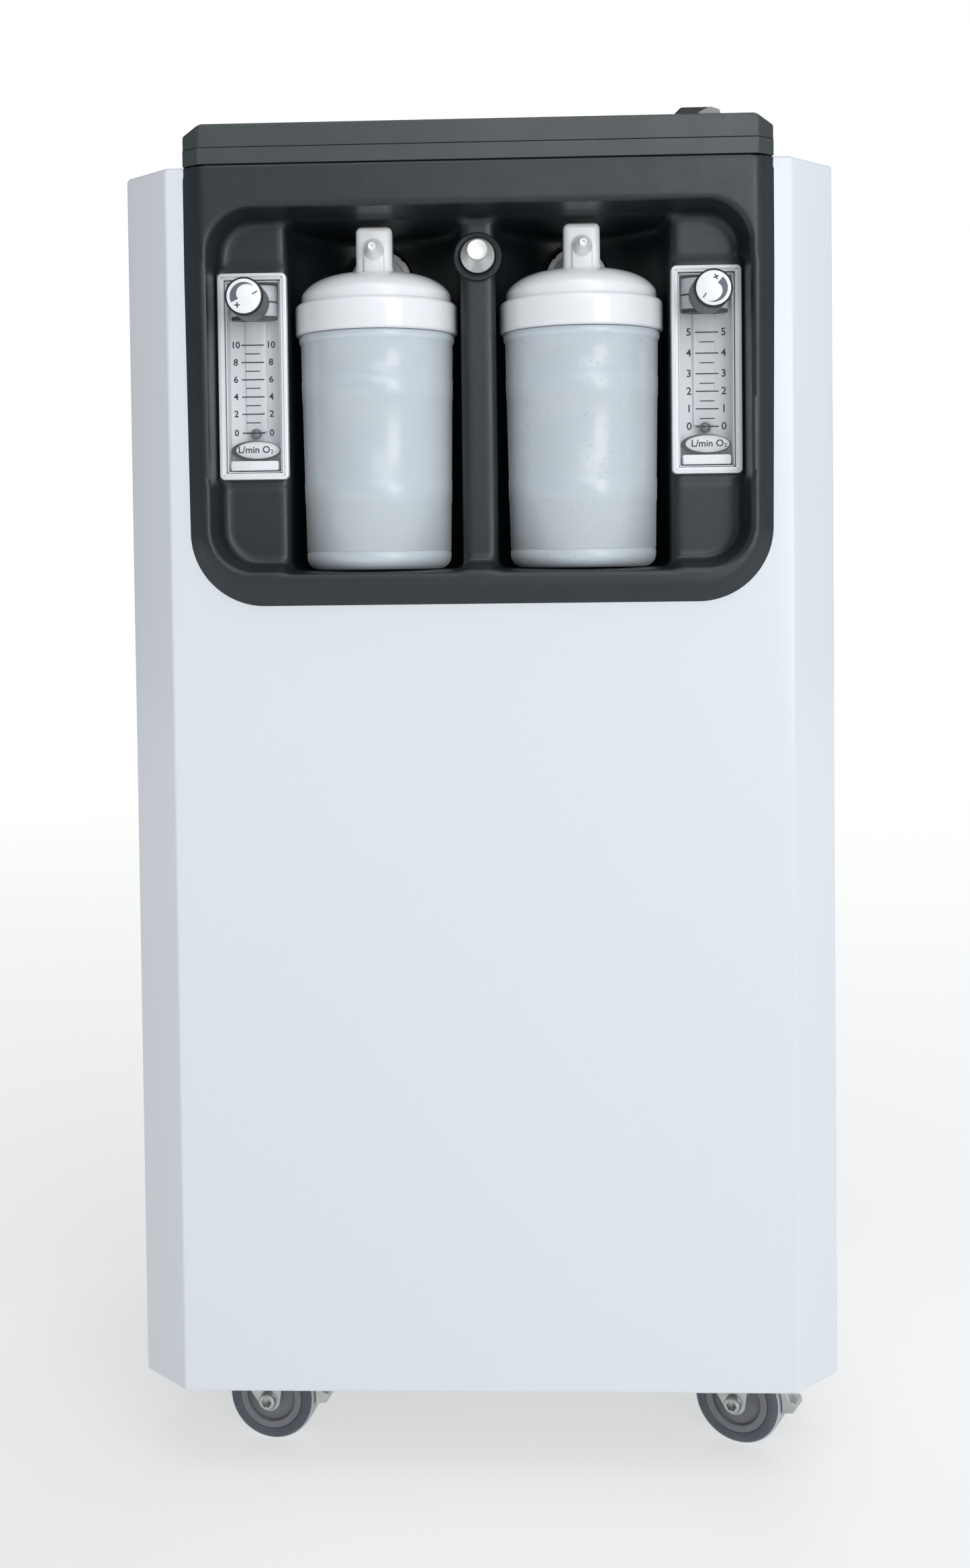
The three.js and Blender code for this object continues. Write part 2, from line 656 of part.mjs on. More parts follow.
// A manifold across the two towers, with four upright solenoid coils.
const VALVES = { half: 88, halfDepth: 28, height: 30, coil: 13, coilHeight: 32, pitch: 40 };

function valveBlock() {
  const { half, halfDepth, height, coil, coilHeight, pitch } = VALVES;
  const base = TOWER.top + GAP;
  const top = base + height;
  const coils = [-1.5, -0.5, 0.5, 1.5].map((step) => (
    rodZ(coil, top - 2, top + coilHeight, 12).translate(step * pitch, TOWER.y, 0)
  ));
  const manifold = block([-half, half], [TOWER.y - halfDepth, TOWER.y + halfDepth], [base, top]);
  return join(manifold, ...coils);
}
place('valve_block', valveBlock(), CAST_ALLOY);

function internalShelf() {
  const { z, front, back, thickness, lip } = SHELF;
  const half = HALF - CABINET.sheet - GAP;
  return cut(
    block([-half, half], [front, back], [z - lip, z]),
    block([-half + thickness, half - thickness], [front + thickness, back - thickness],
      [z - lip - PAST, z - thickness]),
    rodZ(FAN.radius, z - lip, z + PAST, 24).translate(FAN.x, FAN.y, 0),
  );
}
place('internal_shelf', internalShelf(), ZINC);

function fanFrame() {
  const base = SHELF.z + GAP;
  const half = FAN.size / 2;
  const ring = cut(
    block([-half, half], [-half, half], [base, base + FAN.depth]),
    rodZ(FAN.radius, base - PAST, base + FAN.depth + PAST, 24),
  );
  const struts = [0, 60, 120].map((angle) => (
    block([-half + 2, half - 2], [-2, 2], [base, base + 3]).rotateZ(angle * Math.PI / 180)
  ));
  return join(ring, rodZ(FAN.hub, base, base + 3, 16), ...struts).translate(FAN.x, FAN.y, 0);
}
place('fan_frame', fanFrame(), BLACK_PLASTIC);

function fanRotor() {
  const base = SHELF.z + GAP + 4;
  const blades = [];
  for (let i = 0; i < 7; i += 1) {
    blades.push(block([FAN.hub - 3, FAN.radius - 2], [-1, 1], [-9, 9])
      .rotateX(0.7).translate(0, 0, base + 10).rotateZ(i * 2 * Math.PI / 7));
  }
  return join(rodZ(FAN.hub, base, base + 19, 20), ...blades).translate(FAN.x, FAN.y, 0);
}
place('fan_rotor', fanRotor(), BLACK_PLASTIC);

// Copper pipe wound three times above the fan.
const COIL = { radius: 48, pipe: 4, turns: 3, stepsPerTurn: 14, rise: 36 };

function coolingCoil() {
  const { radius, pipe, turns, stepsPerTurn, rise } = COIL;
  const steps = stepsPerTurn * turns;
  const base = SHELF.z + FAN.depth + pipe + 4 * GAP;
  const points = [];
  for (let i = 0; i <= steps; i += 1) {
    const angle = i / steps * turns * 2 * Math.PI;
    points.push(new THREE.Vector3(
      FAN.x + radius * Math.cos(angle), FAN.y + radius * Math.sin(angle), base + i / steps * rise,
    ));
  }
  const section = new THREE.Shape().absarc(0, 0, pipe, 0, 2 * Math.PI);
  return new THREE.ExtrudeGeometry(section, {
    steps, curveSegments: 3, bevelEnabled: false, extrudePath: new THREE.CatmullRomCurve3(points),
  });
}
place('cooling_coil', coolingCoil(), COPPER);

// A square board on two stand-offs from the left wall, with a relay, a chip and a capacitor.
const BOARD = { y: 190, z: 350, half: 45, standOff: 6, thickness: 2 };

function controlBoard() {
  const { y, z, half, standOff, thickness } = BOARD;
  const wall = -HALF + CABINET.sheet + GAP;
  const back = wall + standOff;
  const face = back + thickness / 2; // the pieces start inside the board
  const posts = [-1, 1].map((side) => {
    const along = side * (half - 8);
    return block([wall, face], [y + along - 3, y + along + 3], [z + along - 3, z + along + 3]);
  });
  return join(
    block([back, back + thickness], [y - half, y + half], [z - half, z + half]),
    ...posts,
    block([face, face + 13], [y - 20, y + 10], [z - 20, z + 2]),
    block([face, face + 7], [y + 15, y + 35], [z - 30, z - 10]),
    rodX(8, face, face + 17, 12).translate(0, y - 10, z + 22),
  );
}
place('control_board', controlBoard(), BOARD_GREEN);

// ---------------------------------------------------------------- casters

// Fork leg seen along the axle: a plate narrowing to a round end about the axle.
function forkLeg(from, to) {
  const end = 7.4;
  const shape = new THREE.Shape();
  shape.moveTo(-13, CASTER.bridgeTop);
  shape.lineTo(-13, -5);
  shape.absarc(CASTER.trail, AXLE_Z, end, Math.PI, 2 * Math.PI);
  shape.lineTo(CASTER.trail + end + 2, -8);
  shape.lineTo(19, CASTER.bridgeTop);
  return prismY(shape, from, to, 4);
}

function brakePedal() {
  const shoe = CASTER.wheelRadius + 0.5;
  const lip = -8 * Math.PI / 180;
  const shape = new THREE.Shape();
  shape.moveTo(20.5, -2.6);
  shape.absarc(CASTER.trail, AXLE_Z, shoe, 1.02, lip, true);
  shape.lineTo(CASTER.trail + shoe + 3.5, AXLE_Z - 6.5);
  shape.lineTo(CASTER.trail + shoe + 8, AXLE_Z - 5);
  shape.lineTo(CASTER.trail + shoe + 10, AXLE_Z - 1);
  shape.lineTo(CASTER.trail + shoe + 9.5, AXLE_Z + 3.5);
  shape.lineTo(CASTER.trail + shoe + 5, AXLE_Z + 5);
  shape.lineTo(31, 1);
  shape.lineTo(26, 3.6);
  shape.lineTo(20.5, 3.6);
  return prismY(shape, -CASTER.wheelHalf, CASTER.wheelHalf, 6);
}

function caster({ name, x, y, turn, brake }) {
  const { wheelRadius, wheelHalf, forkInner, forkOuter, trail, plateHalf } = CASTER;
  const { bridgeBase, bridgeTop } = CASTER;
  const stand = new THREE.Group();
  stand.position.set(x, y, 0);
  cabinet.add(stand);
  const underTray = TRAY.base - GAP;
  const plate = cut(
    join(
      block([-plateHalf, plateHalf], [-plateHalf, plateHalf], [underTray - 2.5, underTray]),
      rodZ(16, bridgeTop + GAP, underTray - 1, 16),
    ),
    rodZ(4.4, 0, underTray - 1.2, 12),
  );
  place(`caster_plate_${name}`, plate, ZINC, stand);

  const swivel = new THREE.Group();
  swivel.rotation.z = -turn * Math.PI / 180;
  stand.add(swivel);
  const fork = join(
    block([-13, 19], [-forkOuter, forkOuter], [bridgeBase, bridgeTop]),
    forkLeg(forkInner, forkOuter),
    forkLeg(-forkOuter, -forkInner),
    rodZ(4, bridgeTop - 1, underTray - 1.6, 12),
  );
  const axleHole = rodY(3.7, -20, 20, 12).translate(trail, 0, AXLE_Z);
  place(`fork_${name}`, cut(fork, axleHole), ZINC, swivel);

  const wheel = turnedY([
    [3.8, -wheelHalf - 0.6], [7, -wheelHalf - 0.6], [7, -wheelHalf + 2], [15, -wheelHalf + 2],
    [15, -wheelHalf], [22, -wheelHalf], [wheelRadius, -wheelHalf + 5],
    [wheelRadius, wheelHalf - 5], [22, wheelHalf], [15, wheelHalf], [15, wheelHalf - 2],
    [7, wheelHalf - 2], [7, wheelHalf + 0.6], [3.8, wheelHalf + 0.6], [3.8, -wheelHalf - 0.6],
  ], 24).translate(trail, 0, AXLE_Z);
  place(`wheel_${name}`, wheel, GREY_RUBBER, swivel);

  const end = forkOuter + GAP;
  const axle = turnedY([
    [0, -end - 3.6], [3, -end - 3.6], [4.8, -end - 2.4], [4.8, -end], [3.4, -end],
    [3.4, end], [4.8, end], [4.8, end + 3], [0, end + 3],
  ], 10).translate(trail, 0, AXLE_Z);
  place(`axle_${name}`, axle, BRIGHT_METAL, swivel);

  if (brake) {
    place(`brake_pedal_${name}`, brakePedal(), ZINC, swivel);
  }
}
CASTERS.forEach(caster);

const concentrator = new THREE.Group();
concentrator.add(cabinet);

export default concentrator;
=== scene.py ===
import json
import math

import bmesh
import bpy
import numpy as np
from mathutils import Matrix, Vector


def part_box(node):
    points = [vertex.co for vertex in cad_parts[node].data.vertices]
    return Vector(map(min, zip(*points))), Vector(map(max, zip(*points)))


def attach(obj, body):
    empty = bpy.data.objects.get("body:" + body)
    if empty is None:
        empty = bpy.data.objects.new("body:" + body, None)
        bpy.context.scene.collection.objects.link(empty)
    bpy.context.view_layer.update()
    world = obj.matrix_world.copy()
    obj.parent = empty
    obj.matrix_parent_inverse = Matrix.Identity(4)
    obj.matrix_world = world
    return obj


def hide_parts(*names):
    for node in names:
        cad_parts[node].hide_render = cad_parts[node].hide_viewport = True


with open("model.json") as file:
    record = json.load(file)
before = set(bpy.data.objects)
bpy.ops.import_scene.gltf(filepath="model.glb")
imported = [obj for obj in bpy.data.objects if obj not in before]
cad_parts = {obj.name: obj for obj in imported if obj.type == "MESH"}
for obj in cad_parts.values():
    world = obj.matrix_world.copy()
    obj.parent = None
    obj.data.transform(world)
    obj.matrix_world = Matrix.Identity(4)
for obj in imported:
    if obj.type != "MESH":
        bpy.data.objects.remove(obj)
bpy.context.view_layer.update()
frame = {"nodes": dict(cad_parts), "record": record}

MM = 0.001
SHELL_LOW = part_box("cabinet_shell")[0]
ORIGIN = np.array([0.0, SHELL_LOW.y, SHELL_LOW.z])


def cad_box(node):
    """A CAD node's lowest and highest corner, in the cabinet's millimetres."""
    low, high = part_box(node)
    return (np.array(low) - ORIGIN) / MM, (np.array(high) - ORIGIN) / MM


def cad_middle(node):
    low, high = cad_box(node)
    return (low + high) / 2


# ---- outlines and solids


def rounded(points, steps=4):
    """A closed outline through (u, v, radius) corners, each turned with an arc."""
    out = []
    for i, (u, v, radius) in enumerate(points):
        here = np.array((u, v), float)
        before = np.array(points[i - 1][:2], float) - here
        after = np.array(points[(i + 1) % len(points)][:2], float) - here
        if radius <= 0:
            out.append((u, v))
            continue
        before_length, after_length = np.linalg.norm(before), np.linalg.norm(after)
        before, after = before / before_length, after / after_length
        half = math.acos(max(-1.0, min(1.0, before @ after))) / 2
        reach = min(radius / math.tan(half), 0.49 * before_length, 0.49 * after_length)
        radius = reach * math.tan(half)
        middle = (before + after) / np.linalg.norm(before + after)
        centre = here + middle * radius / math.sin(half)
        first, last = here + before * reach - centre, here + after * reach - centre
        start = math.atan2(first[1], first[0])
        turn = math.atan2(last[1], last[0]) - start
        turn = (turn + math.pi) % (2 * math.pi) - math.pi
        for step in range(steps + 1):
            angle = start + turn * step / steps
            out.append((centre[0] + radius * math.cos(angle), centre[1] + radius * math.sin(angle)))
    return out


def rectangle(u0, u1, v0, v1, radius=0.0, steps=4):
    return rounded([(u0, v0, radius), (u1, v0, radius), (u1, v1, radius), (u0, v1, radius)], steps)


def arc(centre, radius, first, last, steps=16):
    """Points on an arc in a flat outline, from one angle to another in degrees."""
    turns = [math.radians(first + (last - first) * k / steps) for k in range(steps + 1)]
    return [(centre[0] + radius * math.cos(a), centre[1] + radius * math.sin(a)) for a in turns]


def inset(outline, distance):
    """A counter-clockwise outline moved in by a distance, mitred at its corners."""
    points = np.array(outline, float)
    before = points - np.roll(points, 1, 0)
    after = np.roll(points, -1, 0) - points
    normals = []
    for edge in (before, after):
        edge = edge / np.linalg.norm(edge, axis=1)[:, None]
        normals.append(np.stack([-edge[:, 1], edge[:, 0]], 1))
    mitre = normals[0] + normals[1]
    mitre /= (mitre * normals[0]).sum(1)[:, None]
    return points + mitre * distance


def loft(loops, closed=False):
    """A skin over loops of one length. It is capped at both ends, or joined end to start."""
    count = len(loops[0])
    points = np.concatenate([np.array(loop, float) for loop in loops])
    faces = []
    pairs = [(i, i + 1) for i in range(len(loops) - 1)]
    if closed:
        pairs.append((len(loops) - 1, 0))
    for low, high in pairs:
        for k in range(count):
            n = (k + 1) % count
            faces.append([low * count + k, low * count + n, high * count + n, high * count + k])
    if not closed:
        faces.append(list(range(count))[::-1])
        faces.append([(len(loops) - 1) * count + k for k in range(count)])
    return points, faces


def on_axis(outline, height, axis="Y"):
    """Puts a flat outline at a height along Y or Z."""
    points = np.array(outline, float)
    flat = np.full(len(points), float(height))
    columns = [points[:, 0], flat, points[:, 1]] if axis == "Y" else [*points.T, flat]
    return np.stack(columns, 1)


def prism(outline, low, high, axis="Y"):
    """An outline raised from low to high, its rims square."""
    return loft([on_axis(outline, height, axis) for height in (low, high)])


def stepped(outline, steps, axis="Y", closed=False):
    """A skin over one outline, moved in by a distance at each height of its steps."""
    loops = [on_axis(inset(outline, distance), height, axis) for distance, height in steps]
    return loft(loops, closed)


def slab(outline, low, high, edge=0.5, axis="Y", steps=3):
    """An outline raised from low to high, its two rims rounded by edge."""
    turns = [k * math.pi / 2 / steps for k in range(steps + 1)]
    rims = [(edge * (1 - math.sin(a)), edge * (1 - math.cos(a))) for a in turns]
    rising = [(distance, low + rise) for distance, rise in rims]
    return stepped(outline, rising + [(d, high - rise) for d, rise in reversed(rims)], axis)


def lathe(profile, segments=64, closed=False):
    """A solid turned about Z from (radius, height) points, from axis to axis or closed."""
    points, faces, rings = [], [], []
    turns = [2 * math.pi * k / segments for k in range(segments)]
    for radius, height in profile:
        if radius < 1e-6:
            rings.append([len(points)] * segments)
            points.append((0, 0, height))
        else:
            rings.append(list(range(len(points), len(points) + segments)))
            points += [(radius * math.cos(a), radius * math.sin(a), height) for a in turns]
    pairs = list(zip(rings, rings[1:]))
    if closed:
        pairs.append((rings[-1], rings[0]))
    for low, high in pairs:
        for k in range(segments):
            n = (k + 1) % segments
            face = list(dict.fromkeys([low[k], low[n], high[n], high[k]]))
            if len(face) > 2:
                faces.append(face)
    return np.array(points, float), faces


def spun(profile, x, y, z, segments=96, closed=False):
    """A solid turned about a line along Y through (x, z), its heights counted back from y."""
    points, faces = lathe(profile, segments, closed)
    lying = np.stack([points[:, 0], points[:, 2], -points[:, 1]], 1)
    return moved((lying, faces), x, y, z)


def moved(solid, x=0.0, y=0.0, z=0.0):
    points, faces = solid
    return points + np.array([x, y, z], float), faces


def turned(solid, angle, axis="Z"):
    """A solid turned about an axis through the origin, in degrees."""
    points, faces = solid
    matrix = np.array(Matrix.Rotation(math.radians(angle), 3, axis))
    return points @ matrix.T, faces


def together(*solids):
    """Several closed solids as one."""
    points, faces, count = [], [], 0
    for solid_points, solid_faces in solids:
        points.append(solid_points)
        faces += [[i + count for i in face] for face in solid_faces]
        count += len(solid_points)
    return np.concatenate(points), faces


def around(edges, axis):
    """The four cells about each grid edge along an axis, one index array after another."""
    u, v = (axis + 1) % 3, (axis + 2) % 3
    for du, dv in ((0, 0), (1, 0), (1, 1), (0, 1)):
        cells = edges.copy()
        cells[:, u] -= du
        cells[:, v] -= dv
        yield tuple(cells.T)


def surface_net(field, low, high, cell):
    """A closed skin where field, a function of x, y and z arrays, passes through zero."""
    axes = [np.arange(low[i], high[i] + cell, cell) for i in range(3)]
    values = field(*np.meshgrid(*axes, indexing="ij"))
    inside = values < 0
    total = np.zeros(values.shape + (3,))
    hits = np.zeros(values.shape)
    crossings = []
    for axis in range(3):
        near, far = [slice(None)] * 3, [slice(None)] * 3
        near[axis], far[axis] = slice(0, -1), slice(1, None)
        near, far = tuple(near), tuple(far)
        changed = inside[near] != inside[far]
        edges = np.argwhere(changed)
        a, b = values[near][changed], values[far][changed]
        where = edges.astype(float)
        where[:, axis] += a / (a - b)
        crossings.append((axis, edges, inside[near][changed]))
        for cells in around(edges, axis):
            np.add.at(total, cells, where)
            np.add.at(hits, cells, 1)
    used = hits > 0
    number = np.full(values.shape, -1)
    number[used] = np.arange(used.sum())
    points = total[used] / hits[used][:, None] * cell + np.array(low)
    faces = []
    for axis, edges, starts_inside in crossings:
        quads = np.stack([number[cells] for cells in around(edges, axis)], 1)
        quads[~starts_inside] = quads[~starts_inside][:, ::-1]
        faces.append(quads)
    for _ in range(3):
        points = settle(field, points, 0.5 * cell)
    return points, np.concatenate(faces).tolist()


def settle(field, points, most):
    """Moves points along the field's slope onto its zero, by no more than most."""
    step = 0.01
    value = field(*points.T)
    slope = np.stack([
        field(*(points + np.eye(3)[i] * step).T) - field(*(points - np.eye(3)[i] * step).T)
        for i in range(3)
    ], 1) / (2 * step)
    size = (slope ** 2).sum(1)
    change = slope * (value / np.maximum(size, 0.2))[:, None]
    length = np.linalg.norm(change, axis=1)
    return points - change * np.minimum(1, most / np.maximum(length, 1e-9))[:, None]


# ---- pieces


def in_scene(name, data):
    obj = bpy.data.objects.new(name, data)
    bpy.context.scene.collection.objects.link(obj)
    return obj


def mesh_object(name, solid):
    """A Blender mesh from a solid in millimetres, in the frame's metres."""
    points, faces = solid
    data = bpy.data.meshes.new(name)
    data.from_pydata((points * MM + ORIGIN).tolist(), [], [list(map(int, f)) for f in faces])
    clean = bmesh.new()
    clean.from_mesh(data)
    bmesh.ops.remove_doubles(clean, verts=clean.verts, dist=1e-6)
    bmesh.ops.recalc_face_normals(clean, faces=clean.faces)
    clean.to_mesh(data)
    clean.free()
    return in_scene(name, data)


def applied(obj):
    """Makes an object's modifiers part of its mesh."""
    graph = bpy.context.evaluated_depsgraph_get()
    data = bpy.data.meshes.new_from_object(obj.evaluated_get(graph))
    obj.modifiers.clear()
    obj.data = data
    return obj


def carved(obj, *tools):
    """Cuts tool solids out of an object."""
    for i, tool in enumerate(tools):
        cutter = mesh_object(f"{obj.name}_tool_{i}", tool)
        cut = obj.modifiers.new("cut", "BOOLEAN")
        cut.operation, cut.solver, cut.object = "DIFFERENCE", "EXACT", cutter
        applied(obj)
        bpy.data.objects.remove(cutter)
    return obj


def finished(obj, look, body="cabinet", node=None, sharp=38, flat_faces=False):
    """Gives a piece its look and its body, and shows it in place of a CAD node.

    sharp is the angle from which an edge stays sharp. flat_faces keeps large faces evenly
    shaded up to their rounded edges."""
    material, slot = look
    obj.data.materials.clear()
    obj.data.materials.append(material)
    obj.data.polygons.foreach_set("material_index", [0] * len(obj.data.polygons))
    obj.data.shade_smooth()
    obj.data.set_sharp_from_angle(angle=math.radians(sharp))
    if flat_faces:
        evened = obj.modifiers.new("evened", "WEIGHTED_NORMAL")
        evened.keep_sharp = True
        applied(obj)
    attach(obj, body)
    if node:
        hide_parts(node)


def piece(name, solid, look, body="cabinet", node=None, sharp=38, tools=()):
    """A finished piece from a solid, with any tool solids cut out of it."""
    finished(carved(mesh_object(name, solid), *tools), look, body, node, sharp)


def body_of(node):
    return next(b for b, nodes in frame["record"]["behaviour"]["bodies"].items() if node in nodes)


def softened(node, look, width=0.5, segments=2, angle=35, share=lambda middle: 1.0):
    """A copy of a CAD node with its triangles merged and its edges rounded, shown in its place.

    share gives how much of the width an edge gets, from its middle in cabinet millimetres."""
    data = frame["nodes"][node].data.copy()
    clean = bmesh.new()
    clean.from_mesh(data)
    bmesh.ops.remove_doubles(clean, verts=clean.verts, dist=2e-6)
    bmesh.ops.dissolve_limit(clean, angle_limit=math.radians(1), verts=clean.verts,
                             edges=clean.edges)
    weight = clean.edges.layers.float.new("bevel_weight_edge")
    for edge in clean.edges:
        if edge.calc_face_angle(0) > math.radians(angle):
            middle = (edge.verts[0].co + edge.verts[1].co) / 2
            edge[weight] = share((np.array(middle) - ORIGIN) / MM)
    clean.to_mesh(data)
    clean.free()
    obj = in_scene(node + "_finished", data)
    bevel = obj.modifiers.new("bevel", "BEVEL")
    bevel.width, bevel.segments = width * MM, segments
    bevel.limit_method = "WEIGHT"
    bevel.use_clamp_overlap = False
    finished(applied(obj), look, body_of(node), node, flat_faces=True)


# ---- materials


def set_values(node, **values):
    """Sets a shader node's inputs, named with underscores for their spaces."""
    for socket, value in values.items():
        node.inputs[socket.replace("_", " ")].default_value = value


def add_node(tree, kind, *sources, operation=None, **values):
    """A new shader node. The sources feed its first inputs, and values set others."""
    node = tree.nodes.new("ShaderNode" + kind)
    for source, socket in zip(sources, node.inputs):
        tree.links.new(source, socket)
    if operation:
        node.operation = operation
    set_values(node, **values)
    return node


def principled(material):
    return material.node_tree.nodes["Principled BSDF"]


def new_material(name, colour, roughness, **sockets):
    material = bpy.data.materials.new(name)
    material.use_nodes = True
    set_values(principled(material), Base_Color=(*colour, 1), Roughness=roughness, **sockets)
    return material


def texture(material, kind, scale, **values):
    """The output of a Noise or Voronoi texture on the piece's own coordinates, in metres."""
    tree = material.node_tree
    place = tree.nodes.get("Texture Coordinate") or add_node(tree, "TexCoord")
    return add_node(tree, "Tex" + kind, place.outputs["Object"], Scale=scale, **values).outputs[0]


def mapped(material, value, stops):
    """A colour ramp on a value: its two stops are (place, grey or colour)."""
    ramp = add_node(material.node_tree, "ValToRGB", value)
    for element, (place, colour) in zip(ramp.color_ramp.elements, stops):
        rgb = (colour,) * 3 if isinstance(colour, (int, float)) else colour
        element.position = place
        element.color = (*rgb, 1)
    return ramp.outputs["Color"]


def set_input(material, socket, output):
    material.node_tree.links.new(output, principled(material).inputs[socket])


def bump(material, heights, distance, strength=1.0):
    """Adds bumps to a material, one on another. A distance is in millimetres."""
    links = material.node_tree.links
    node = add_node(material.node_tree, "Bump", Distance=distance * MM, Strength=strength)
    links.new(heights, node.inputs["Height"])
    normal = principled(material).inputs["Normal"]
    if normal.is_linked:
        links.new(normal.links[0].from_socket, node.inputs["Normal"])
    links.new(node.outputs["Normal"], normal)


def mottled(name, light, dark, roughness, scale=25.0, spread=0.06, grain=None, **sockets):
    """A material whose colour and roughness drift a little, with an optional fine grain.

    grain is (features per metre, depth in millimetres, strength)."""
    material = new_material(name, light, roughness, **sockets)
    drift = texture(material, "Noise", scale, Detail=4.0, Roughness=0.6)
    set_input(material, "Base Color", mapped(material, drift, [(0.35, dark), (0.65, light)]))
    smudge = texture(material, "Noise", scale * 3.1, Detail=5.0, Roughness=0.65)
    low, high = max(0.02, roughness - spread), min(1.0, roughness + spread)
    set_input(material, "Roughness", mapped(material, smudge, [(0.3, low), (0.7, high)]))
    if grain:
        features, depth, strength = grain
        bump(material, texture(material, "Noise", features, Detail=2.0), depth, strength)
    return material


def worn(material, colour, scale, threshold):
    """Scatters small scuffs and dust of another colour over a mottled material."""
    links = material.node_tree.links
    base = principled(material).inputs["Base Color"].links[0].from_socket
    specks = texture(material, "Noise", scale, Detail=8.0, Roughness=0.75)
    mask = mapped(material, specks, [(threshold, 0.0), (threshold + 0.08, 1.0)])
    mix = add_node(material.node_tree, "Mix")
    mix.data_type = "RGBA"
    links.new(mask, mix.inputs["Factor"])
    links.new(base, mix.inputs["A"])
    mix.inputs["B"].default_value = (*colour, 1)
    set_input(material, "Base Color", mix.outputs["Result"])


def surface(slot, *values, **sockets):
    """A look for a piece: a mottled material and the record's slot that it stands for."""
    return mottled(*values, **sockets), slot


WHITE_PAINT = surface(
    "white_paint", "powder_coat", (0.71, 0.748, 0.787), (0.697, 0.737, 0.777), 0.3, 2.2, 0.02,
    (420, 0.05, 0.25), Coat_Weight=0.25, Coat_Roughness=0.12)
DARK_PLASTIC = surface(
    "dark_plastic", "dark_moulding", (0.012, 0.0195, 0.024), (0.0095, 0.0155, 0.0195), 0.36,
    14, 0.05, (1500, 0.12, 0.5))
# Painted light: a lighter copy of the dark panel plastic, so the head band and cap look more
# brightly lit than the panel.
CAP_PLASTIC_PAINTED_LIGHTER = surface(
    "dark_plastic", "cap_moulding", (0.044, 0.053, 0.056), (0.038, 0.046, 0.049), 0.36, 14, 0.05,
    (1500, 0.12, 0.5))
BLACK_PLASTIC = surface(
    "black_plastic", "black_gloss", (0.009, 0.009, 0.01), (0.006, 0.006, 0.007), 0.28, 60, 0.05,
    Specular_IOR_Level=0.25)
BLACK_MATT = surface(
    "black_plastic", "black_matt", (0.026, 0.027, 0.03), (0.018, 0.019, 0.021), 0.5, 60, 0.08,
    (1200, 0.05, 0.4))
# Painted highlight: a grey copy of the matt black frame plastic, standing in for the light on the
# cheeks' crest.
GUARD_PAINTED_HIGHLIGHT = surface(
    "dark_plastic", "guard_grey", (0.3, 0.305, 0.31), (0.26, 0.265, 0.27), 0.45, 60, 0.08,
    (1200, 0.05, 0.4))
MOULDED_GLOSS = {"Subsurface_Weight": 0.15, "Subsurface_Scale": 0.002, "Coat_Weight": 0.3,
                 "Coat_Roughness": 0.06}
WHITE_PLASTIC = surface(
    "white_plastic", "white_gloss", (0.81, 0.83, 0.855), (0.78, 0.805, 0.835), 0.2, 18, 0.05,
    (260, 0.03, 0.2), **MOULDED_GLOSS)
# Painted light: a brighter copy of the white lid plastic, making up for the shade the port tower
# and union nut sit in deep in the recess.
PORT_WHITE_PAINTED_LIGHT = surface(
    "white_plastic", "port_white", (0.94, 0.95, 0.965), (0.91, 0.925, 0.945), 0.2, 18, 0.05,
    (260, 0.03, 0.2), **MOULDED_GLOSS)
PAPER_WHITE = surface(
    "white_plastic", "scale_backing", (0.87, 0.89, 0.91), (0.82, 0.85, 0.88), 0.45, 40)
CLEAR_PLASTIC = surface(
    "clear_plastic", "clear_acrylic", (0.9, 0.94, 0.97), (0.84, 0.89, 0.93), 0.05, 30, 0.03,
    Alpha=0.06, Coat_Weight=0.6, Coat_Roughness=0.02)
# Only half metallic: the diffuse half of this near-white colour is painted reflection, brightening
# the spout where polished metal shines from its reflections.
BRIGHT_METAL_PAINTED_REFLECTION = surface(
    "bright_metal", "polished_nickel", (0.93, 0.93, 0.92), (0.86, 0.86, 0.85), 0.32, 90, 0.06,
    (900, 0.01, 0.3), Metallic=0.5)
ZINC = surface(
    "zinc_plate", "zinc_plate", (0.56, 0.585, 0.57), (0.44, 0.465, 0.455), 0.36, 60, 0.1,
    (700, 0.03, 0.35), Metallic=1)
CAST_ALLOY = surface(
    "cast_alloy", "cast_alloy", (0.55, 0.56, 0.57), (0.43, 0.44, 0.45), 0.5, 45, 0.1,
    (500, 0.15, 0.5), Metallic=1)
COPPER = surface(
    "copper", "copper_pipe", (0.72, 0.42, 0.27), (0.5, 0.26, 0.15), 0.3, 50, 0.1, Metallic=1)
STEEL_BALL = surface(
    "float_steel", "float_ball", (0.16, 0.17, 0.19), (0.1, 0.11, 0.13), 0.22, 200, 0.06,
    Metallic=0.7)
KNOB_GREY = surface(
    "knob_plastic", "knob_side", (0.115, 0.12, 0.128), (0.09, 0.095, 0.103), 0.42, 60, 0.07,
    (900, 0.04, 0.4))
KNOB_RIM = surface(
    "knob_plastic", "knob_rim", (0.006, 0.007, 0.014), (0.004, 0.005, 0.009), 0.5, 60, 0.06)
VALVE_GREY = surface(
    "white_plastic", "valve_grey", (0.68, 0.71, 0.74), (0.62, 0.65, 0.69), 0.3, 60)
KNOB_FACE = surface(
    "knob_plastic", "knob_face", (0.86, 0.875, 0.9), (0.82, 0.84, 0.87), 0.3, 40, 0.06)
PRINT_GREY = surface(
    "knob_plastic", "grey_print", (0.115, 0.13, 0.16), (0.095, 0.105, 0.135), 0.5, 60, 0.05)
PRINT_DARK = surface(
    "clear_plastic", "dark_print", (0.02, 0.022, 0.035), (0.012, 0.013, 0.022), 0.5, 60, 0.05)
TYRE = surface(
    "grey_tyre", "grey_tread", (0.082, 0.098, 0.115), (0.062, 0.075, 0.09), 0.62, 40, 0.08,
    (600, 0.08, 0.5))
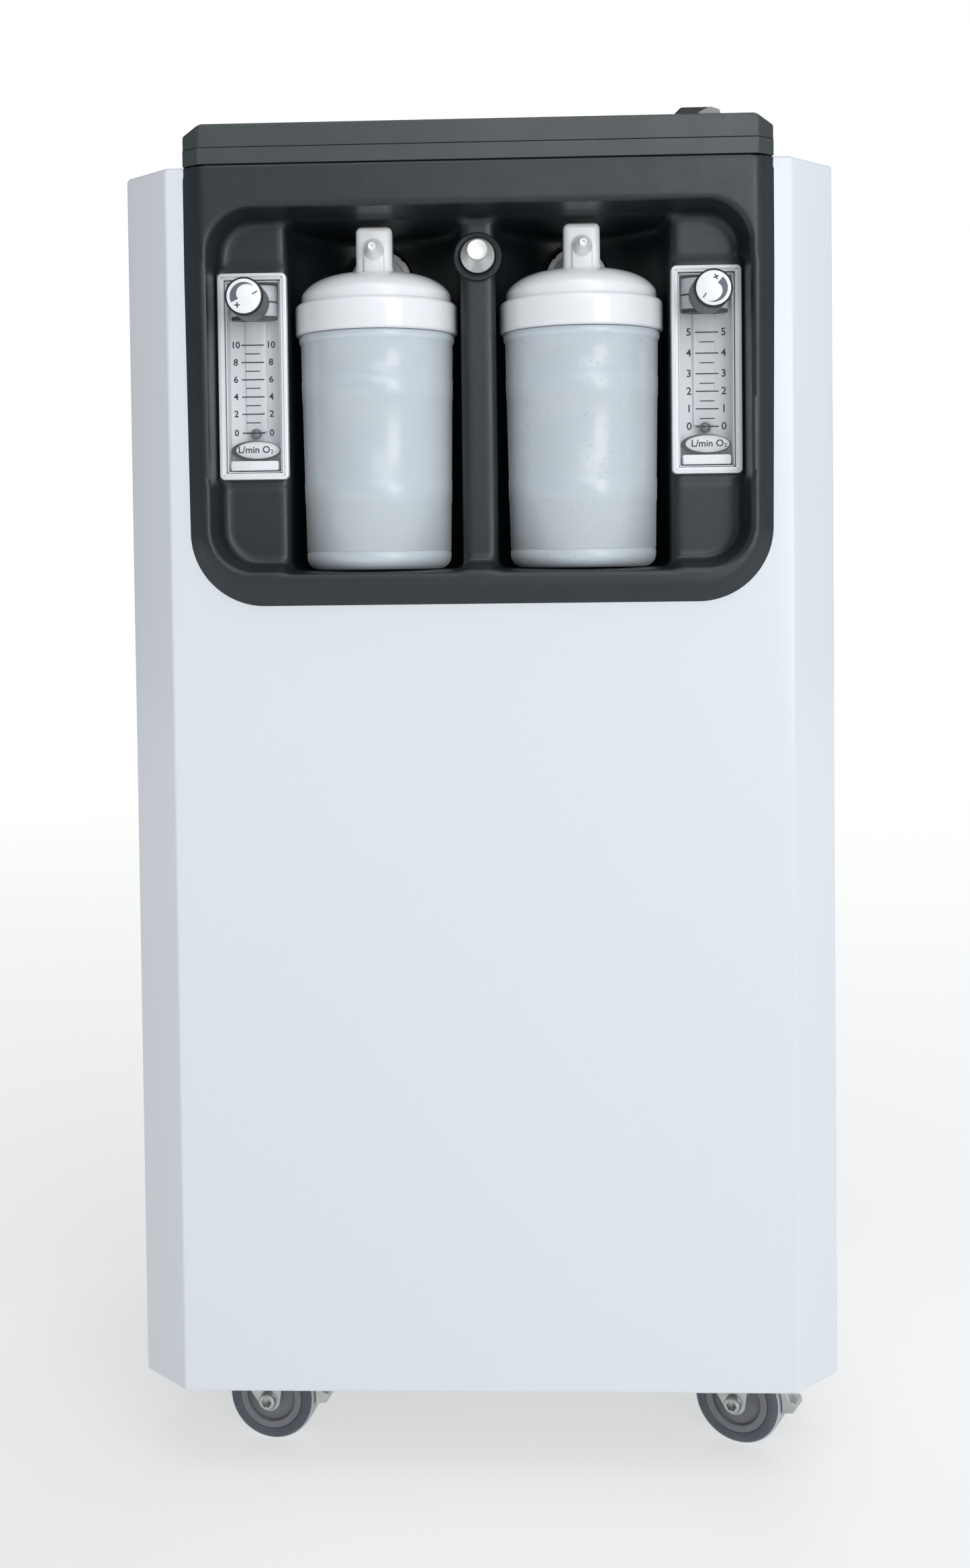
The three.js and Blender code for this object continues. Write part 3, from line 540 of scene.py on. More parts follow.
# The tread's pale grey is partly the tyre's own two-tone colour and partly painted light, made
# paler against the shade under the cabinet.
TREAD_PARTLY_PAINTED_LIGHT = surface(
    "grey_tyre", "pale_tread", (0.44, 0.47, 0.49), (0.38, 0.41, 0.43), 0.6, 40, 0.08,
    (600, 0.08, 0.5))
HUB = surface(
    "grey_tyre", "hub_plastic", (0.175, 0.18, 0.2), (0.145, 0.15, 0.17), 0.5, 40, 0.08,
    (700, 0.05, 0.4))
FOAM = surface("foam", "filter_foam", (0.05, 0.052, 0.056), (0.02, 0.021, 0.023), 0.95, 300, 0.04)
BOARD_GREEN = surface(
    "circuit_board", "circuit_board", (0.035, 0.16, 0.085), (0.02, 0.1, 0.055), 0.4, 120, 0.1)
for scuffed, _ in (DARK_PLASTIC, CAP_PLASTIC_PAINTED_LIGHTER, ZINC, TYRE):
    worn(scuffed, (0.3, 0.31, 0.31), 240, 0.74)
bump(FOAM[0], texture(FOAM[0], "Voronoi", 700), 0.8)


def milky_plastic(name, drops):
    """Translucent bottle plastic, its fog uneven inside, with condensed drops where wanted."""
    material = mottled(name, (0.585, 0.66, 0.725), (0.568, 0.642, 0.71), 0.3, 12, 0.03,
                       Subsurface_Weight=0.7, Subsurface_Scale=0.01, Subsurface_Radius=(1, 1, 1),
                       Coat_Weight=0.3, Coat_Roughness=0.1, Sheen_Weight=0.5, Sheen_Roughness=0.4)
    if drops:
        cells = texture(material, "Voronoi", 260, Randomness=1)
        bump(material, mapped(material, cells, [(0, 1), (0.22, 0)]), 0.5, 0.7)
    return material, "milky_plastic"


MILKY_CLEAR = milky_plastic("milky_jar", drops=False)
MILKY_DAMP = milky_plastic("milky_jar_damp", drops=True)


# ---- camera, floor and lights

CAMERA_PLACE = (0.007, -1.1129, 0.506)
CAMERA_YAW, CAMERA_PITCH, CAMERA_ROLL = (math.radians(a) for a in (-2.13, 1.85, -0.71))
CAMERA_LENS = 40.5
CAMERA_SHIFT = (0.03573, -0.11361)


def make_camera():
    """Looks at the front from a little right of the middle and above half height."""
    forward = Vector((math.sin(CAMERA_YAW) * math.cos(CAMERA_PITCH),
                      math.cos(CAMERA_YAW) * math.cos(CAMERA_PITCH), -math.sin(CAMERA_PITCH)))
    right = forward.cross(Vector((0, 0, 1))).normalized()
    up = right.cross(forward)
    across = right * math.cos(CAMERA_ROLL) + up * math.sin(CAMERA_ROLL)
    upright = up * math.cos(CAMERA_ROLL) - right * math.sin(CAMERA_ROLL)
    data = bpy.data.cameras.new("camera")
    data.lens = CAMERA_LENS
    data.shift_x, data.shift_y = CAMERA_SHIFT
    camera = in_scene("camera", data)
    turn = Matrix((across, upright, -forward)).transposed()
    camera.matrix_world = Matrix.Translation(CAMERA_PLACE) @ turn.to_4x4()
    bpy.context.scene.camera = camera


def make_floor():
    """A round pale floor whose edge melts into the white surroundings."""
    radius = 6.0
    points, faces = lathe([(radius * k / 12, 0.0) for k in range(13)], 96)
    data = bpy.data.meshes.new("floor")
    data.from_pydata(points.tolist(), [], faces)
    material = new_material("pale_floor", (0.9, 0.9, 0.91), 0.7)
    data.materials.append(material)
    tree = material.node_tree
    place = add_node(tree, "TexCoord").outputs["Object"]
    distance = add_node(tree, "VectorMath", place, operation="LENGTH").outputs["Value"]
    share = add_node(tree, "Math", distance, operation="DIVIDE")
    share.inputs[1].default_value = radius
    fade = mapped(material, share.outputs[0], [(0.05, 0.55), (0.4, 1.0)])
    shade = principled(material).outputs[0]
    glow = add_node(tree, "Emission", Color=(1, 1, 1, 1)).outputs[0]
    mix = add_node(tree, "MixShader", fade, shade, glow)
    tree.links.new(mix.outputs[0], tree.nodes["Material Output"].inputs["Surface"])
    in_scene("floor", data)


def area_light(name, place, target, size, power, colour=(1, 1, 1)):
    data = bpy.data.lights.new(name, "AREA")
    data.shape, data.size, data.size_y = "RECTANGLE", size[0], size[1]
    data.energy, data.color = power, colour
    aim = (Vector(target) - Vector(place)).to_track_quat("-Z", "Y")
    in_scene(name, data).matrix_world = Matrix.Translation(place) @ aim.to_matrix().to_4x4()


def make_world():
    """White to the camera. To the object, soft bluish daylight, brightest from the upper right."""
    world = bpy.data.worlds.new("studio")
    bpy.context.scene.world = world
    world.use_nodes = True
    tree = world.node_tree
    light = tree.nodes["Background"]
    set_values(light, Color=(0.9, 0.95, 1.0, 1))
    place = add_node(tree, "TexCoord").outputs["Generated"]
    towards = add_node(tree, "VectorMath", place, operation="DOT_PRODUCT")
    towards.inputs[1].default_value = Vector((0.45, -0.55, 0.7)).normalized()
    strength = add_node(tree, "MapRange", towards.outputs["Value"], From_Min=0.4, From_Max=0.8,
                        To_Min=0.24, To_Max=0.68)
    tree.links.new(strength.outputs["Result"], light.inputs["Strength"])
    white = add_node(tree, "Background", Color=(1, 1, 1, 1))
    from_camera = add_node(tree, "LightPath").outputs["Is Camera Ray"]
    mix = add_node(tree, "MixShader", from_camera, light.outputs[0], white.outputs[0])
    tree.links.new(mix.outputs[0], tree.nodes["World Output"].inputs["Surface"])
    bpy.context.scene.view_settings.view_transform = "Standard"


make_camera()
make_floor()
make_world()
for name, *values in (
        ("key", (0.8, -2.0, 1.9), (0, 0, 0.5), (1.1, 1.1), 6, (1, 0.99, 0.97)),
        ("side", (1.25, -2.6, 0.75), (0, 0, 0.5), (0.9, 1.2), 15),
        ("window", (0.45, -3.0, 1.45), (0.1, 0, 0.6), (1.5, 0.7), 9),
        ("over", (0.1, -1.1, 2.3), (0, 0, 0.6), (1.3, 0.9), 7),
        ("behind", (0.6, 2.4, 1.5), (0, 0, 0.4), (1.8, 1.4), 26)):
    area_light(name, *values)


# ---- the cabinet's sheet metal

HALF, DEPTH, HEIGHT = cad_box("cabinet_shell")[1]
CHAMFER = 25.4
SHEET = 1.5
BEND = 3.0


def cabinet_plan(back, bend):
    """The cabinet from above: 45 degree front corners with a sheet-metal bend at each edge."""
    corner = HALF - CHAMFER
    return rounded([
        (-corner, 0, bend), (corner, 0, bend), (HALF, CHAMFER, bend), (HALF, back, 0),
        (-HALF, back, 0), (-HALF, CHAMFER, bend),
    ], 5)


def cabinet_shell():
    """Sheet metal, open below, behind, at the top under the head and where the panel sits."""
    outside = slab(cabinet_plan(DEPTH, BEND), 0, HEIGHT, 2.4, "Z", 4)
    inside = inset(cabinet_plan(DEPTH + 40, BEND), SHEET)
    room = slab(inside, SHEET, HEIGHT - SHEET, 1.0, "Z", 2)
    underneath = prism(inset(cabinet_plan(DEPTH + 90, 0), 14), -5, 5, "Z")
    top = HALF - 36.5
    head_room = prism(rectangle(-top, top, -5, DEPTH + 40), HEIGHT - 5, HEIGHT + 5, "Z")
    window = prism(rectangle(-147, 147, 437, HEIGHT + 40, 20), -5, 5)
    piece("cabinet_sheet", outside, WHITE_PAINT, "cabinet", "cabinet_shell",
          tools=(room, underneath, head_room, window))


cabinet_shell()


# ---- the moulded front panel

RIM_HALF = cad_box("head_band")[1][0]
RIM_FRONT = cad_box("front_panel")[0][1]
RIM_BASE = cad_box("front_panel")[0][2] - 1.0
RIM_BEVEL = 8.7
BOTTLE_X, BOTTLE_Y = cad_middle("lid_right")[:2]
METER_X, METER_Z = cad_middle("flow_bezel_right")[[0, 2]]
METER_HALF = 18.6
METER_FRONT = cad_box("flow_bezel_right")[0][1]
OUTLET_Z = cad_middle("outlet_socket")[2]
UNION_Z = cad_middle("union_nut_right")[2]
RECESS_FLOOR = 17.5
RECESS_BASE, RECESS_TOP = 443.0, 634.5
RECESS_HALF, RECESS_CORNER = 142, 23
BAY_HALF, BAY_MIDDLE, BAY_REACH = 46.5, 537, 94
PANEL_CORNER, PANEL_WALL = 39, 3


def soft_least(a, b, width):
    """The lesser of two distances, with a fillet where they meet."""
    share = np.clip(0.5 + 0.5 * (b - a) / width, 0, 1)
    return b * (1 - share) + a * share - width * share * (1 - share)


def soft_most(a, b, width):
    return -soft_least(-a, -b, width)


def to_rectangle(u, v, half_u, half_v, radius):
    """Distance to a rounded rectangle about the origin, below zero inside it."""
    across, along = np.abs(u) - half_u + radius, np.abs(v) - half_v + radius
    outside = np.hypot(np.maximum(across, 0), np.maximum(along, 0))
    return np.minimum(np.maximum(across, along), 0) + outside - radius


def panel_cavity(x, y, z):
    """The recess, its two round bays and the pockets of the union nuts."""
    middle, tall = (RECESS_BASE + RECESS_TOP) / 2, (RECESS_TOP - RECESS_BASE) / 2
    draft = 3.4 * np.clip((y - RIM_FRONT) / 24, 0, 1)
    recess = to_rectangle(x, z - middle, RECESS_HALF, tall, RECESS_CORNER) + draft
    cavity = soft_most(recess, y - RECESS_FLOOR, 5)
    side = np.abs(x) - BOTTLE_X
    plan = np.where(y > BOTTLE_Y, np.hypot(side, y - BOTTLE_Y), np.abs(side)) - BAY_HALF
    bay = soft_most(plan, np.abs(z - BAY_MIDDLE) - BAY_REACH, 5)
    pocket = soft_most(np.hypot(side, z - UNION_Z) - 18.8, np.abs(y - 73) - 20, 2)
    cavity = soft_least(cavity, bay, 5)
    seat = to_rectangle(np.abs(x) - METER_X, z - METER_Z, METER_HALF + 0.9, 57.5, 3)
    seat = soft_most(seat, y - RECESS_FLOOR + 0.2, 1)
    return soft_least(soft_least(cavity, pocket, 2), seat, 4)


def panel_solid(x, y, z):
    """Distance to the front panel: a bevelled rim and a tub with thin walls."""
    half = RIM_HALF - 1.5 * np.clip((600 - z) / 170, 0, 1)
    centre = (RIM_BASE + 800) / 2
    edge = to_rectangle(x, z - centre, half, centre - RIM_BASE, PANEL_CORNER)
    slope = math.hypot(RIM_FRONT, RIM_BEVEL)
    bevel = (-RIM_FRONT * edge - RIM_BEVEL * y) / slope
    plate = soft_most(bevel, RIM_FRONT - y, 1.8)
    plate = np.maximum(plate, edge - 6 * np.clip((652 - z) / 3, 0, 1))
    plate = np.maximum(np.maximum(plate, y - 4), z - HEIGHT)
    cavity = panel_cavity(x, y, z)
    wall = np.maximum(cavity - PANEL_WALL, RIM_FRONT + 2 - y)
    body = soft_most(np.minimum(plate, wall), -cavity, 2.6)
    side = np.abs(x) - METER_X
    meter_hole = np.maximum(np.maximum(np.abs(side) - 15.5, np.abs(z - METER_Z) - 52.3), y - 40)
    outlet_hole = np.maximum(np.hypot(x, z - OUTLET_Z) - 7.9, y - 40)
    return np.maximum(body, -np.minimum(meter_hole, outlet_hole))


def front_panel():
    cell = 1.9
    low, high = (-RIM_HALF - 4, -12.0, RIM_BASE - 5), (RIM_HALF + 4, 101.0, HEIGHT + 2)
    solid = surface_net(panel_solid, low, high, cell)
    piece("moulded_panel", solid, DARK_PLASTIC, "cabinet", "front_panel", 50)


front_panel()
CAP_BASE, CAP_TOP = (corner[2] for corner in cad_box("top_cap"))
# The head band and cap take the lighter copy of the panel plastic: painted light.
softened("head_band", CAP_PLASTIC_PAINTED_LIGHTER, 0.25, 2)
softened("top_cap", CAP_PLASTIC_PAINTED_LIGHTER, 1.3, 3, 20,
         lambda middle: 1.0 if middle[2] > CAP_BASE + 1 else 0.2)


# ---- power switch


def switch_guards():
    """Two raised cheeks beside the paddle, their crest towards the right."""
    x = cad_middle("switch_frame")[0]
    side = [(x - 1, CAP_TOP + 1), (x + 13.6, CAP_TOP + 0.4), (x + 13, CAP_TOP + 3.4),
            (x + 8.3, CAP_TOP + 4.95)]
    cheeks = [slab(rounded([(u, v, 0.8) for u, v in side]), low, high, 0.5)
              for low, high in ((-0.05, 3.4), (16.6, 20.05))]
    # The cheeks are the frame's black plastic, painted grey as a highlight.
    piece("switch_guards", together(*cheeks), GUARD_PAINTED_HIGHLIGHT)


switch_guards()
softened("switch_frame", BLACK_MATT, 0.5, 3, 15)
softened("switch_paddle", BLACK_PLASTIC, 0.9, 4, 15)


# ---- flow meters

SCALE_ZERO = 517.5
LEFT_SCALE = [(10, 564.7), (8, 555.4), (6, 546.2), (4, 536.9), (2, 527.7), (0, SCALE_ZERO)]
RIGHT_SCALE = [(5, 567.6), (4, 556.5), (3, 545.6), (2, 536.2), (1, 526.9), (0, SCALE_ZERO)]
KNOB_Z = cad_middle("flow_knob_right")[2]
KNOB_FRONT = cad_box("flow_knob_right")[0][1]
TUBE_FRONT, TUBE_BACK = (corner[1] for corner in cad_box("flow_tube_right"))
BORE_Y = cad_middle("flow_float_right")[1]


def letters(name, text, size, x, y, z, bold):
    """Thin printed characters, facing the front, centred on (x, z)."""
    curve = bpy.data.curves.new(name, "FONT")
    curve.body = text
    curve.size = size * MM
    curve.align_x, curve.align_y = "CENTER", "CENTER"
    curve.extrude = 0.06 * MM
    curve.offset = bold * MM
    curve.resolution_u = 3
    maker = in_scene(name + "_text", curve)
    data = bpy.data.meshes.new_from_object(maker)
    bpy.data.objects.remove(maker)
    spot = Vector(np.array([x, y, z]) * MM + ORIGIN)
    data.transform(Matrix.Translation(spot) @ Matrix.Rotation(math.pi / 2, 4, "X"))
    finished(in_scene(name, data), PRINT_DARK)


def bar(x0, x1, y0, y1, z0, z1):
    return prism(rectangle(x0, x1, z0, z1), y0, y1)


def flow_bezel(side):
    """A glossy moulded frame: a flat outer border and a lower ledge inside it."""
    low, high = cad_box(f"flow_bezel_{side}")
    outside = rectangle(low[0], high[0], low[2], high[2], 2.6, 5)
    front, back = METER_FRONT, high[1] + 3
    steps = [(0.0, back), (0.0, front + 0.7), (0.2, front + 0.2), (0.7, front), (1.8, front),
             (2.0, front + 0.15), (2.0, front + 0.6), (3.2, front + 0.7), (3.5, front + 1.0),
             (3.5, back)]
    piece(f"meter_frame_{side}", stepped(outside, steps, closed=True), WHITE_PLASTIC, "cabinet",
          f"flow_bezel_{side}", 30)


def meter_scale(side, x, marks, gap, height, places):
    """Lines across the block with numbers on both sides, and the unit below them."""
    y = TUBE_FRONT - 0.05
    lines = []
    for number, z in marks:
        lines.append(bar(x - 6.1, x + 6.1, y, y + 0.1, z - 0.33, z + 0.33))
        if number != 0:
            half = z - gap / 2
            lines.append(bar(x - 3.9, x + 3.9, y, y + 0.1, half - 0.28, half + 0.28))
        for i, dx in enumerate(places):
            letters(f"scale_{side}_{number}_{i}", str(number), height * 1.4, x + dx, y, z, 0.1)
    piece(f"scale_lines_{side}", together(*lines), PRINT_DARK)
    letters(f"scale_unit_{side}", "L/min O", 5.2, x, y, 508.4, 0.08)
    letters(f"scale_unit_2_{side}", "2", 3.0, x + 9.6, y, 507.4, 0.05)


def ellipse(u, v, across, along, steps=48):
    turns = [2 * math.pi * k / steps for k in range(steps)]
    return [(u + across * math.cos(a), v + along * math.sin(a)) for a in turns]


def meter_block(side, x):
    """A clear block in a white tray, with a bore for the float and what shows through it."""
    low, high = cad_box(f"flow_tube_{side}")
    gap, bore_radius, bore_base = 0.7, 4.2, SCALE_ZERO - 3.6
    block = slab(rectangle(low[0] + gap, high[0] - gap, low[2] + gap, high[2] - gap, 0.8, 2),
                 TUBE_FRONT, BORE_Y + 6, 0.6, "Y", 2)
    bore = lathe([(0, bore_base), (bore_radius, bore_base), (bore_radius, high[2] + 3),
                  (0, high[2] + 3)], 32)
    piece(f"meter_block_{side}", block, CLEAR_PLASTIC, "cabinet", f"flow_tube_{side}",
          tools=[moved(bore, x, BORE_Y)])
    outside = rectangle(low[0], high[0], low[2], high[2], 0.8, 2)
    floor = BORE_Y + 6.6
    tray = [(0.0, TUBE_BACK), (0.0, TUBE_FRONT + 2.0), (0.5, TUBE_FRONT + 2.0), (0.5, floor)]
    piece(f"meter_tray_{side}", stepped(outside, tray), PAPER_WHITE)
    rail = slab(rectangle(x - 5.6, x + 5.6, 519, high[2] - 1, 1.0), BORE_Y + 4.4, floor + 0.5,
                0.6, "Y", 2)
    foot = slab(rectangle(x - 12.8, x + 12.8, low[2] + 1.2, 502.6, 1.0), TUBE_FRONT + 1.2,
                BORE_Y + 5, 0.5, "Y", 2)
    plug = slab(ellipse(x, 508.4, 13.2, 5.3), BORE_Y - 2, BORE_Y + 4, 0.6, "Y", 2)
    piece(f"meter_insert_{side}", together(rail, foot, plug), PAPER_WHITE)
    outer, inner = ellipse(x, 508.4, 13.4, 5.5), ellipse(x + 1.1, 508.8, 11.9, 4.7)
    front, back = BORE_Y - 2.6, BORE_Y - 1.8
    rims = ((outer, front), (inner, front), (inner, back), (outer, back))
    seal = loft([on_axis(rim, y) for rim, y in rims], closed=True)
    piece(f"meter_seal_{side}", seal, BLACK_MATT)


def valve_cartridge(side, x):
    """The valve's ribbed barrel behind the knob, with dark seals between its ribs."""
    bands = [lathe([(0, low), (12.1, low), (12.6, low + 0.5), (12.6, high - 0.5), (12.1, high),
                    (0, high)], 48) for low, high in ((581.0, 588.2), (589.0, 597.4))]
    seals = [lathe([(0, z - half), (12.3, z - half), (12.7, z), (12.3, z + half), (0, z + half)],
                   48) for z, half in ((580.0, 1.0), (588.6, 0.4), (597.8, 0.4))]
    flatness = np.array([1.0, 0.45, 1.0])
    for name, solids, look in (("barrel", bands, VALVE_GREY), ("seals", seals, BLACK_MATT)):
        points, faces = together(*solids)
        piece(f"valve_{name}_{side}", moved((points * flatness, faces), x, BORE_Y - 0.5), look)


def crescent(turn):
    """A tapering arc about the origin: wide at its start, a point at its end, in (x, z)."""
    start, sweep = math.radians(206 + turn), math.radians(161)
    narrow, wide = 7.25, 3.2
    outer, inner = [], []
    for k in range(33):
        share = k / 32
        angle = start - sweep * share
        near = min(wide + (narrow - wide) * share ** 1.15, 7.2)
        outer.append((7.3 * math.cos(angle), 7.3 * math.sin(angle)))
        inner.append((near * math.cos(angle), near * math.sin(angle)))
    return (outer + inner[::-1])[::-1]


def flow_knob(side, x, turn):
    """A turned knob: grey barrel, dark rim, white face with a tapering arc, + and -."""
    body = f"flow_knob_{side}"
    front, back = KNOB_FRONT, cad_box(body)[1][1]
    barrel = [(0, front + 4.2), (9.3, front + 4.2), (9.8, front + 4.6), (10, front + 5.2),
              (10, 10.2), (9.6, 11.4), (8.9, 12), (3, 12), (3, back), (0, back)]
    piece(f"knob_barrel_{side}", spun(barrel, x, 0, KNOB_Z), KNOB_GREY, body, body)
    rim = [(0, 0.35), (9.0, 0.35), (9.05, 0.1), (9.2, 0), (9.7, 0.15), (10.0, 0.6), (10.0, 3.6),
           (9.7, 4.1), (0, 4.1)]
    piece(f"knob_rim_{side}", spun(rim, x, front, KNOB_Z), KNOB_RIM, body)
    face = [(0, 0.12), (8.85, 0.12), (8.98, 0.2), (8.98, 0.5), (0, 0.5)]
    piece(f"knob_disc_{side}", spun(face, x, front, KNOB_Z), KNOB_FACE, body)
    y0, y1 = front + 0.04, front + 0.3
    minus, stroke = bar(-1.5, 1.5, y0, y1, -0.36, 0.36), bar(-0.36, 0.36, y0, y1, -1.5, 1.5)
    marks = [prism(crescent(turn), y0, y1)]
    for sign, reach, angle, tilt in ((together(minus, stroke), 5.8, 233, 0), (minus, 6.0, 16, 30)):
        spot = math.radians(angle + turn)
        leaning = turned(sign, -(tilt + turn), "Y")
        marks.append(moved(leaning, reach * math.cos(spot), 0, reach * math.sin(spot)))
    piece(f"knob_marks_{side}", moved(together(*marks), x, 0, KNOB_Z), PRINT_GREY, body)


def flow_float(side, x):
    """A small ball, made from a cube's faces divided and pushed out to the sphere."""
    ball = bmesh.new()
    bmesh.ops.create_cube(ball, size=2)
    bmesh.ops.subdivide_edges(ball, edges=ball.edges, cuts=9, use_grid_fill=True)
    points = np.array([v.co.normalized() * 3.1 for v in ball.verts])
    faces = [[v.index for v in f.verts] for f in ball.faces]
    ball.free()
    body = f"flow_float_{side}"
    z = cad_middle(body)[2]
    piece(f"float_ball_{side}", moved((points, faces), x, BORE_Y, z), STEEL_BALL, body, body)


for side, x, marks, gap, height, places, turn in (
        ("left", -METER_X, LEFT_SCALE, 9.3, 3.5, (-9.2, 9.8), 0),
        ("right", METER_X, RIGHT_SCALE, 10.3, 4.0, (-9.6, 8.9), -156)):
    flow_bezel(side)
    meter_block(side, x)
    meter_scale(side, x, marks, gap, height, places)
    valve_cartridge(side, x)
    flow_knob(side, x, turn)
    flow_float(side, x)


# ---- humidifier bottles

JAR_BASE = cad_box("jar_right")[0][2]
DOME_TOP = cad_box("lid_right")[1][2]
PORT_TOP = cad_box("lid_port_right")[1][2]
UNION_FRONT, UNION_BACK = (corner[1] for corner in cad_box("union_nut_right"))


def jar(side, x, look):
    """A blow-moulded jar: a soft foot, a rim line, faint level steps and a collar."""
    base = JAR_BASE

    def wall(z):
        return 39.5 + 2.1 * (z - base) / 122.7

    outer = [(0, base + 1.6), (24, base + 1.2), (30, base + 0.3), (32.6, base)]
    outer += arc((wall(base + 7) - 6.6, base + 6.6), 6.6, -90, 0, 10)
    outer += [(wall(452.4), 452.4), (wall(453) - 0.45, 453.0), (wall(453.6), 453.6)]
    level = 0.0
    for z, change in ((479, 0.22), (491, -0.22), (535, 0.22), (546, -0.22)):
        outer.append((wall(z) + level, z))
        level += change
        outer.append((wall(z) + level, z + 0.5))
    outer += [(wall(565.6), 565.6), (42.2, 566.5), (42.5, 567.2), (42.5, 569.7), (42.0, 570.3),
              (40.0, 570.5), (40.0, 580.6), (39.6, 581), (38.4, 581), (38.0, 580.4)]
    inner = [(38.0, 566), (39.3, 563), (37.5, base + 12)]
    inner += arc((31.5, base + 8.6), 6.0, 0, -90, 6) + [(0, base + 2.9)]
    solid = moved(lathe(outer + inner, 120), x, BOTTLE_Y)
    piece(f"jar_body_{side}", solid, look, f"jar_{side}", f"jar_{side}", 50)


def lid(side, x):
    """A screw lid: a plain grip band, a ledge above it and a flat-topped dome."""
    ledge = 592
    outer = [(40.5, 570.7), (43.3, 570.6), (44.0, 570.9), (44.4, 571.5), (44.5, 572.3),
             (44.5, 584.8)]
    outer += arc((41.7, 584.9), 2.8, 0, 80, 6)
    outer += [(41.5, 588.0), (41.1, 588.6)]
    for k in range(25):
        share = math.cos(math.radians(90 * k / 24))
        rise = max(0, 1 - share ** 3.5) ** 0.7
        outer.append((41 * share, ledge + (DOME_TOP - ledge) * rise))
    inner = [(0, 602), (17, 601.6), (26, 600), (33, 596.5), (37, 591.5), (38.3, 588), (40.5, 583)]
    solid = moved(lathe(outer + inner + outer[:1], 120), x, BOTTLE_Y)
    piece(f"lid_body_{side}", solid, WHITE_PLASTIC, f"humidifier_{side}", f"lid_{side}", 40)


def port_block(side, x):
    """The block on the dome: a rounded tower with an arched panel, a barbed nozzle and a pipe."""
    low, high = DOME_TOP - 1.0, PORT_TOP
    plan, crown = rectangle(-9.8, 9.8, -8, 8, 3.2, 6), 3.0
    steps = [(-2.4, low - 1.5), (-1.5, low - 0.4), (-0.6, low + 1.2), (-0.1, low + 3.2)]
    for k in range(7):
        angle = math.radians(15 * k)
        steps.append((crown * (1 - math.cos(angle)), high - crown + crown * math.sin(angle)))
    tower = moved(stepped(plan, steps, "Z"), x, BOTTLE_Y - 8)
    front = BOTTLE_Y - 16
    arch = rounded([(-5.6, 601, 0), (5.6, 601, 0), (5.6, 621.4, 5.5), (-5.6, 621.4, 5.5)], 8)
    panel = moved(slab(arch, front - 2.2, front + 1.6, 1.3, "Y", 4), x)
    nozzle = spun([
        (0, -15), (0.9, -15), (1.1, -16.8), (1.9, -16.9), (2.7, -14.6), (2.75, -14.1),
        (2.3, -13.9), (2.4, -12), (2.9, -9.9), (2.95, -9.4), (2.6, -9.2), (3.0, -7.5),
        (3.8, -4.2), (5.2, -2.4), (5.6, -1), (0, -1)], x, front, 615, 48)
    pipe_start, pipe_end = BOTTLE_Y - 6, UNION_FRONT - 6
    pipe = spun([(0, pipe_start), (7, pipe_start), (7, pipe_end - 2), (7.4, pipe_end - 1.2),
                 (7.4, pipe_end), (0, pipe_end)], x, 0, cad_middle(f"lid_port_{side}")[2] - 0.5, 48)
    spigot = spun([(0, -8), (8.6, -8), (9.5, -7.1), (9.5, 4), (0, 4)], x, UNION_FRONT, UNION_Z, 48)
    # The tower takes the brighter copy of the lid plastic: painted light against the recess's
    # shade.
    piece(f"port_tower_{side}", together(tower, panel, nozzle, pipe, spigot), PORT_WHITE_PAINTED_LIGHT,
          f"humidifier_{side}", f"lid_port_{side}", 35)


def union_nut(side, x):
    """A thick round nut with a stepped face and finger notches round its rim."""
    thick = UNION_BACK - UNION_FRONT
    disc = spun([(9.8, 1.6), (10.2, 0.9), (13.4, 0.9), (13.9, 0.4), (14.2, 0), (16.9, 0),
                 (17.6, 0.5), (17.8, 1.3), (17.8, thick - 1), (17.2, thick), (5, thick),
                 (5, 4.4), (9.8, 4.4)], x, UNION_FRONT, UNION_Z, closed=True)
    notches = []
    for k in range(12):
        angle = math.radians(30 * k + 15)
        notches.append(spun([(0, -2), (1.6, -2), (1.6, thick + 2), (0, thick + 2)],
                            x + 18.5 * math.cos(angle), UNION_FRONT,
                            UNION_Z + 18.5 * math.sin(angle), 12))
    # The nut takes the brighter copy of the lid plastic: painted light against the bay's shade.
    piece(f"union_disc_{side}", disc, PORT_WHITE_PAINTED_LIGHT, f"humidifier_{side}", f"union_nut_{side}", 35,
          [together(*notches)])


def dip_tube(side, x):
    """The tube down to near the jar's foot, with its bubbling stone."""
    stone = [(0, 451.3), (5.2, 451.3), (6, 452.2), (6, 464.4), (5.0, 465.3), (2.6, 467.3),
             (2.6, 601.5), (0, 601.5)]
    piece(f"dip_pipe_{side}", moved(lathe(stone, 40), x, BOTTLE_Y), MILKY_CLEAR,
          f"humidifier_{side}", f"dip_tube_{side}")


for side, x, look in (("left", -BOTTLE_X, MILKY_CLEAR), ("right", BOTTLE_X, MILKY_DAMP)):
    jar(side, x, look)
    lid(side, x)
    port_block(side, x)
    union_nut(side, x)
    dip_tube(side, x)


# ---- central outlet


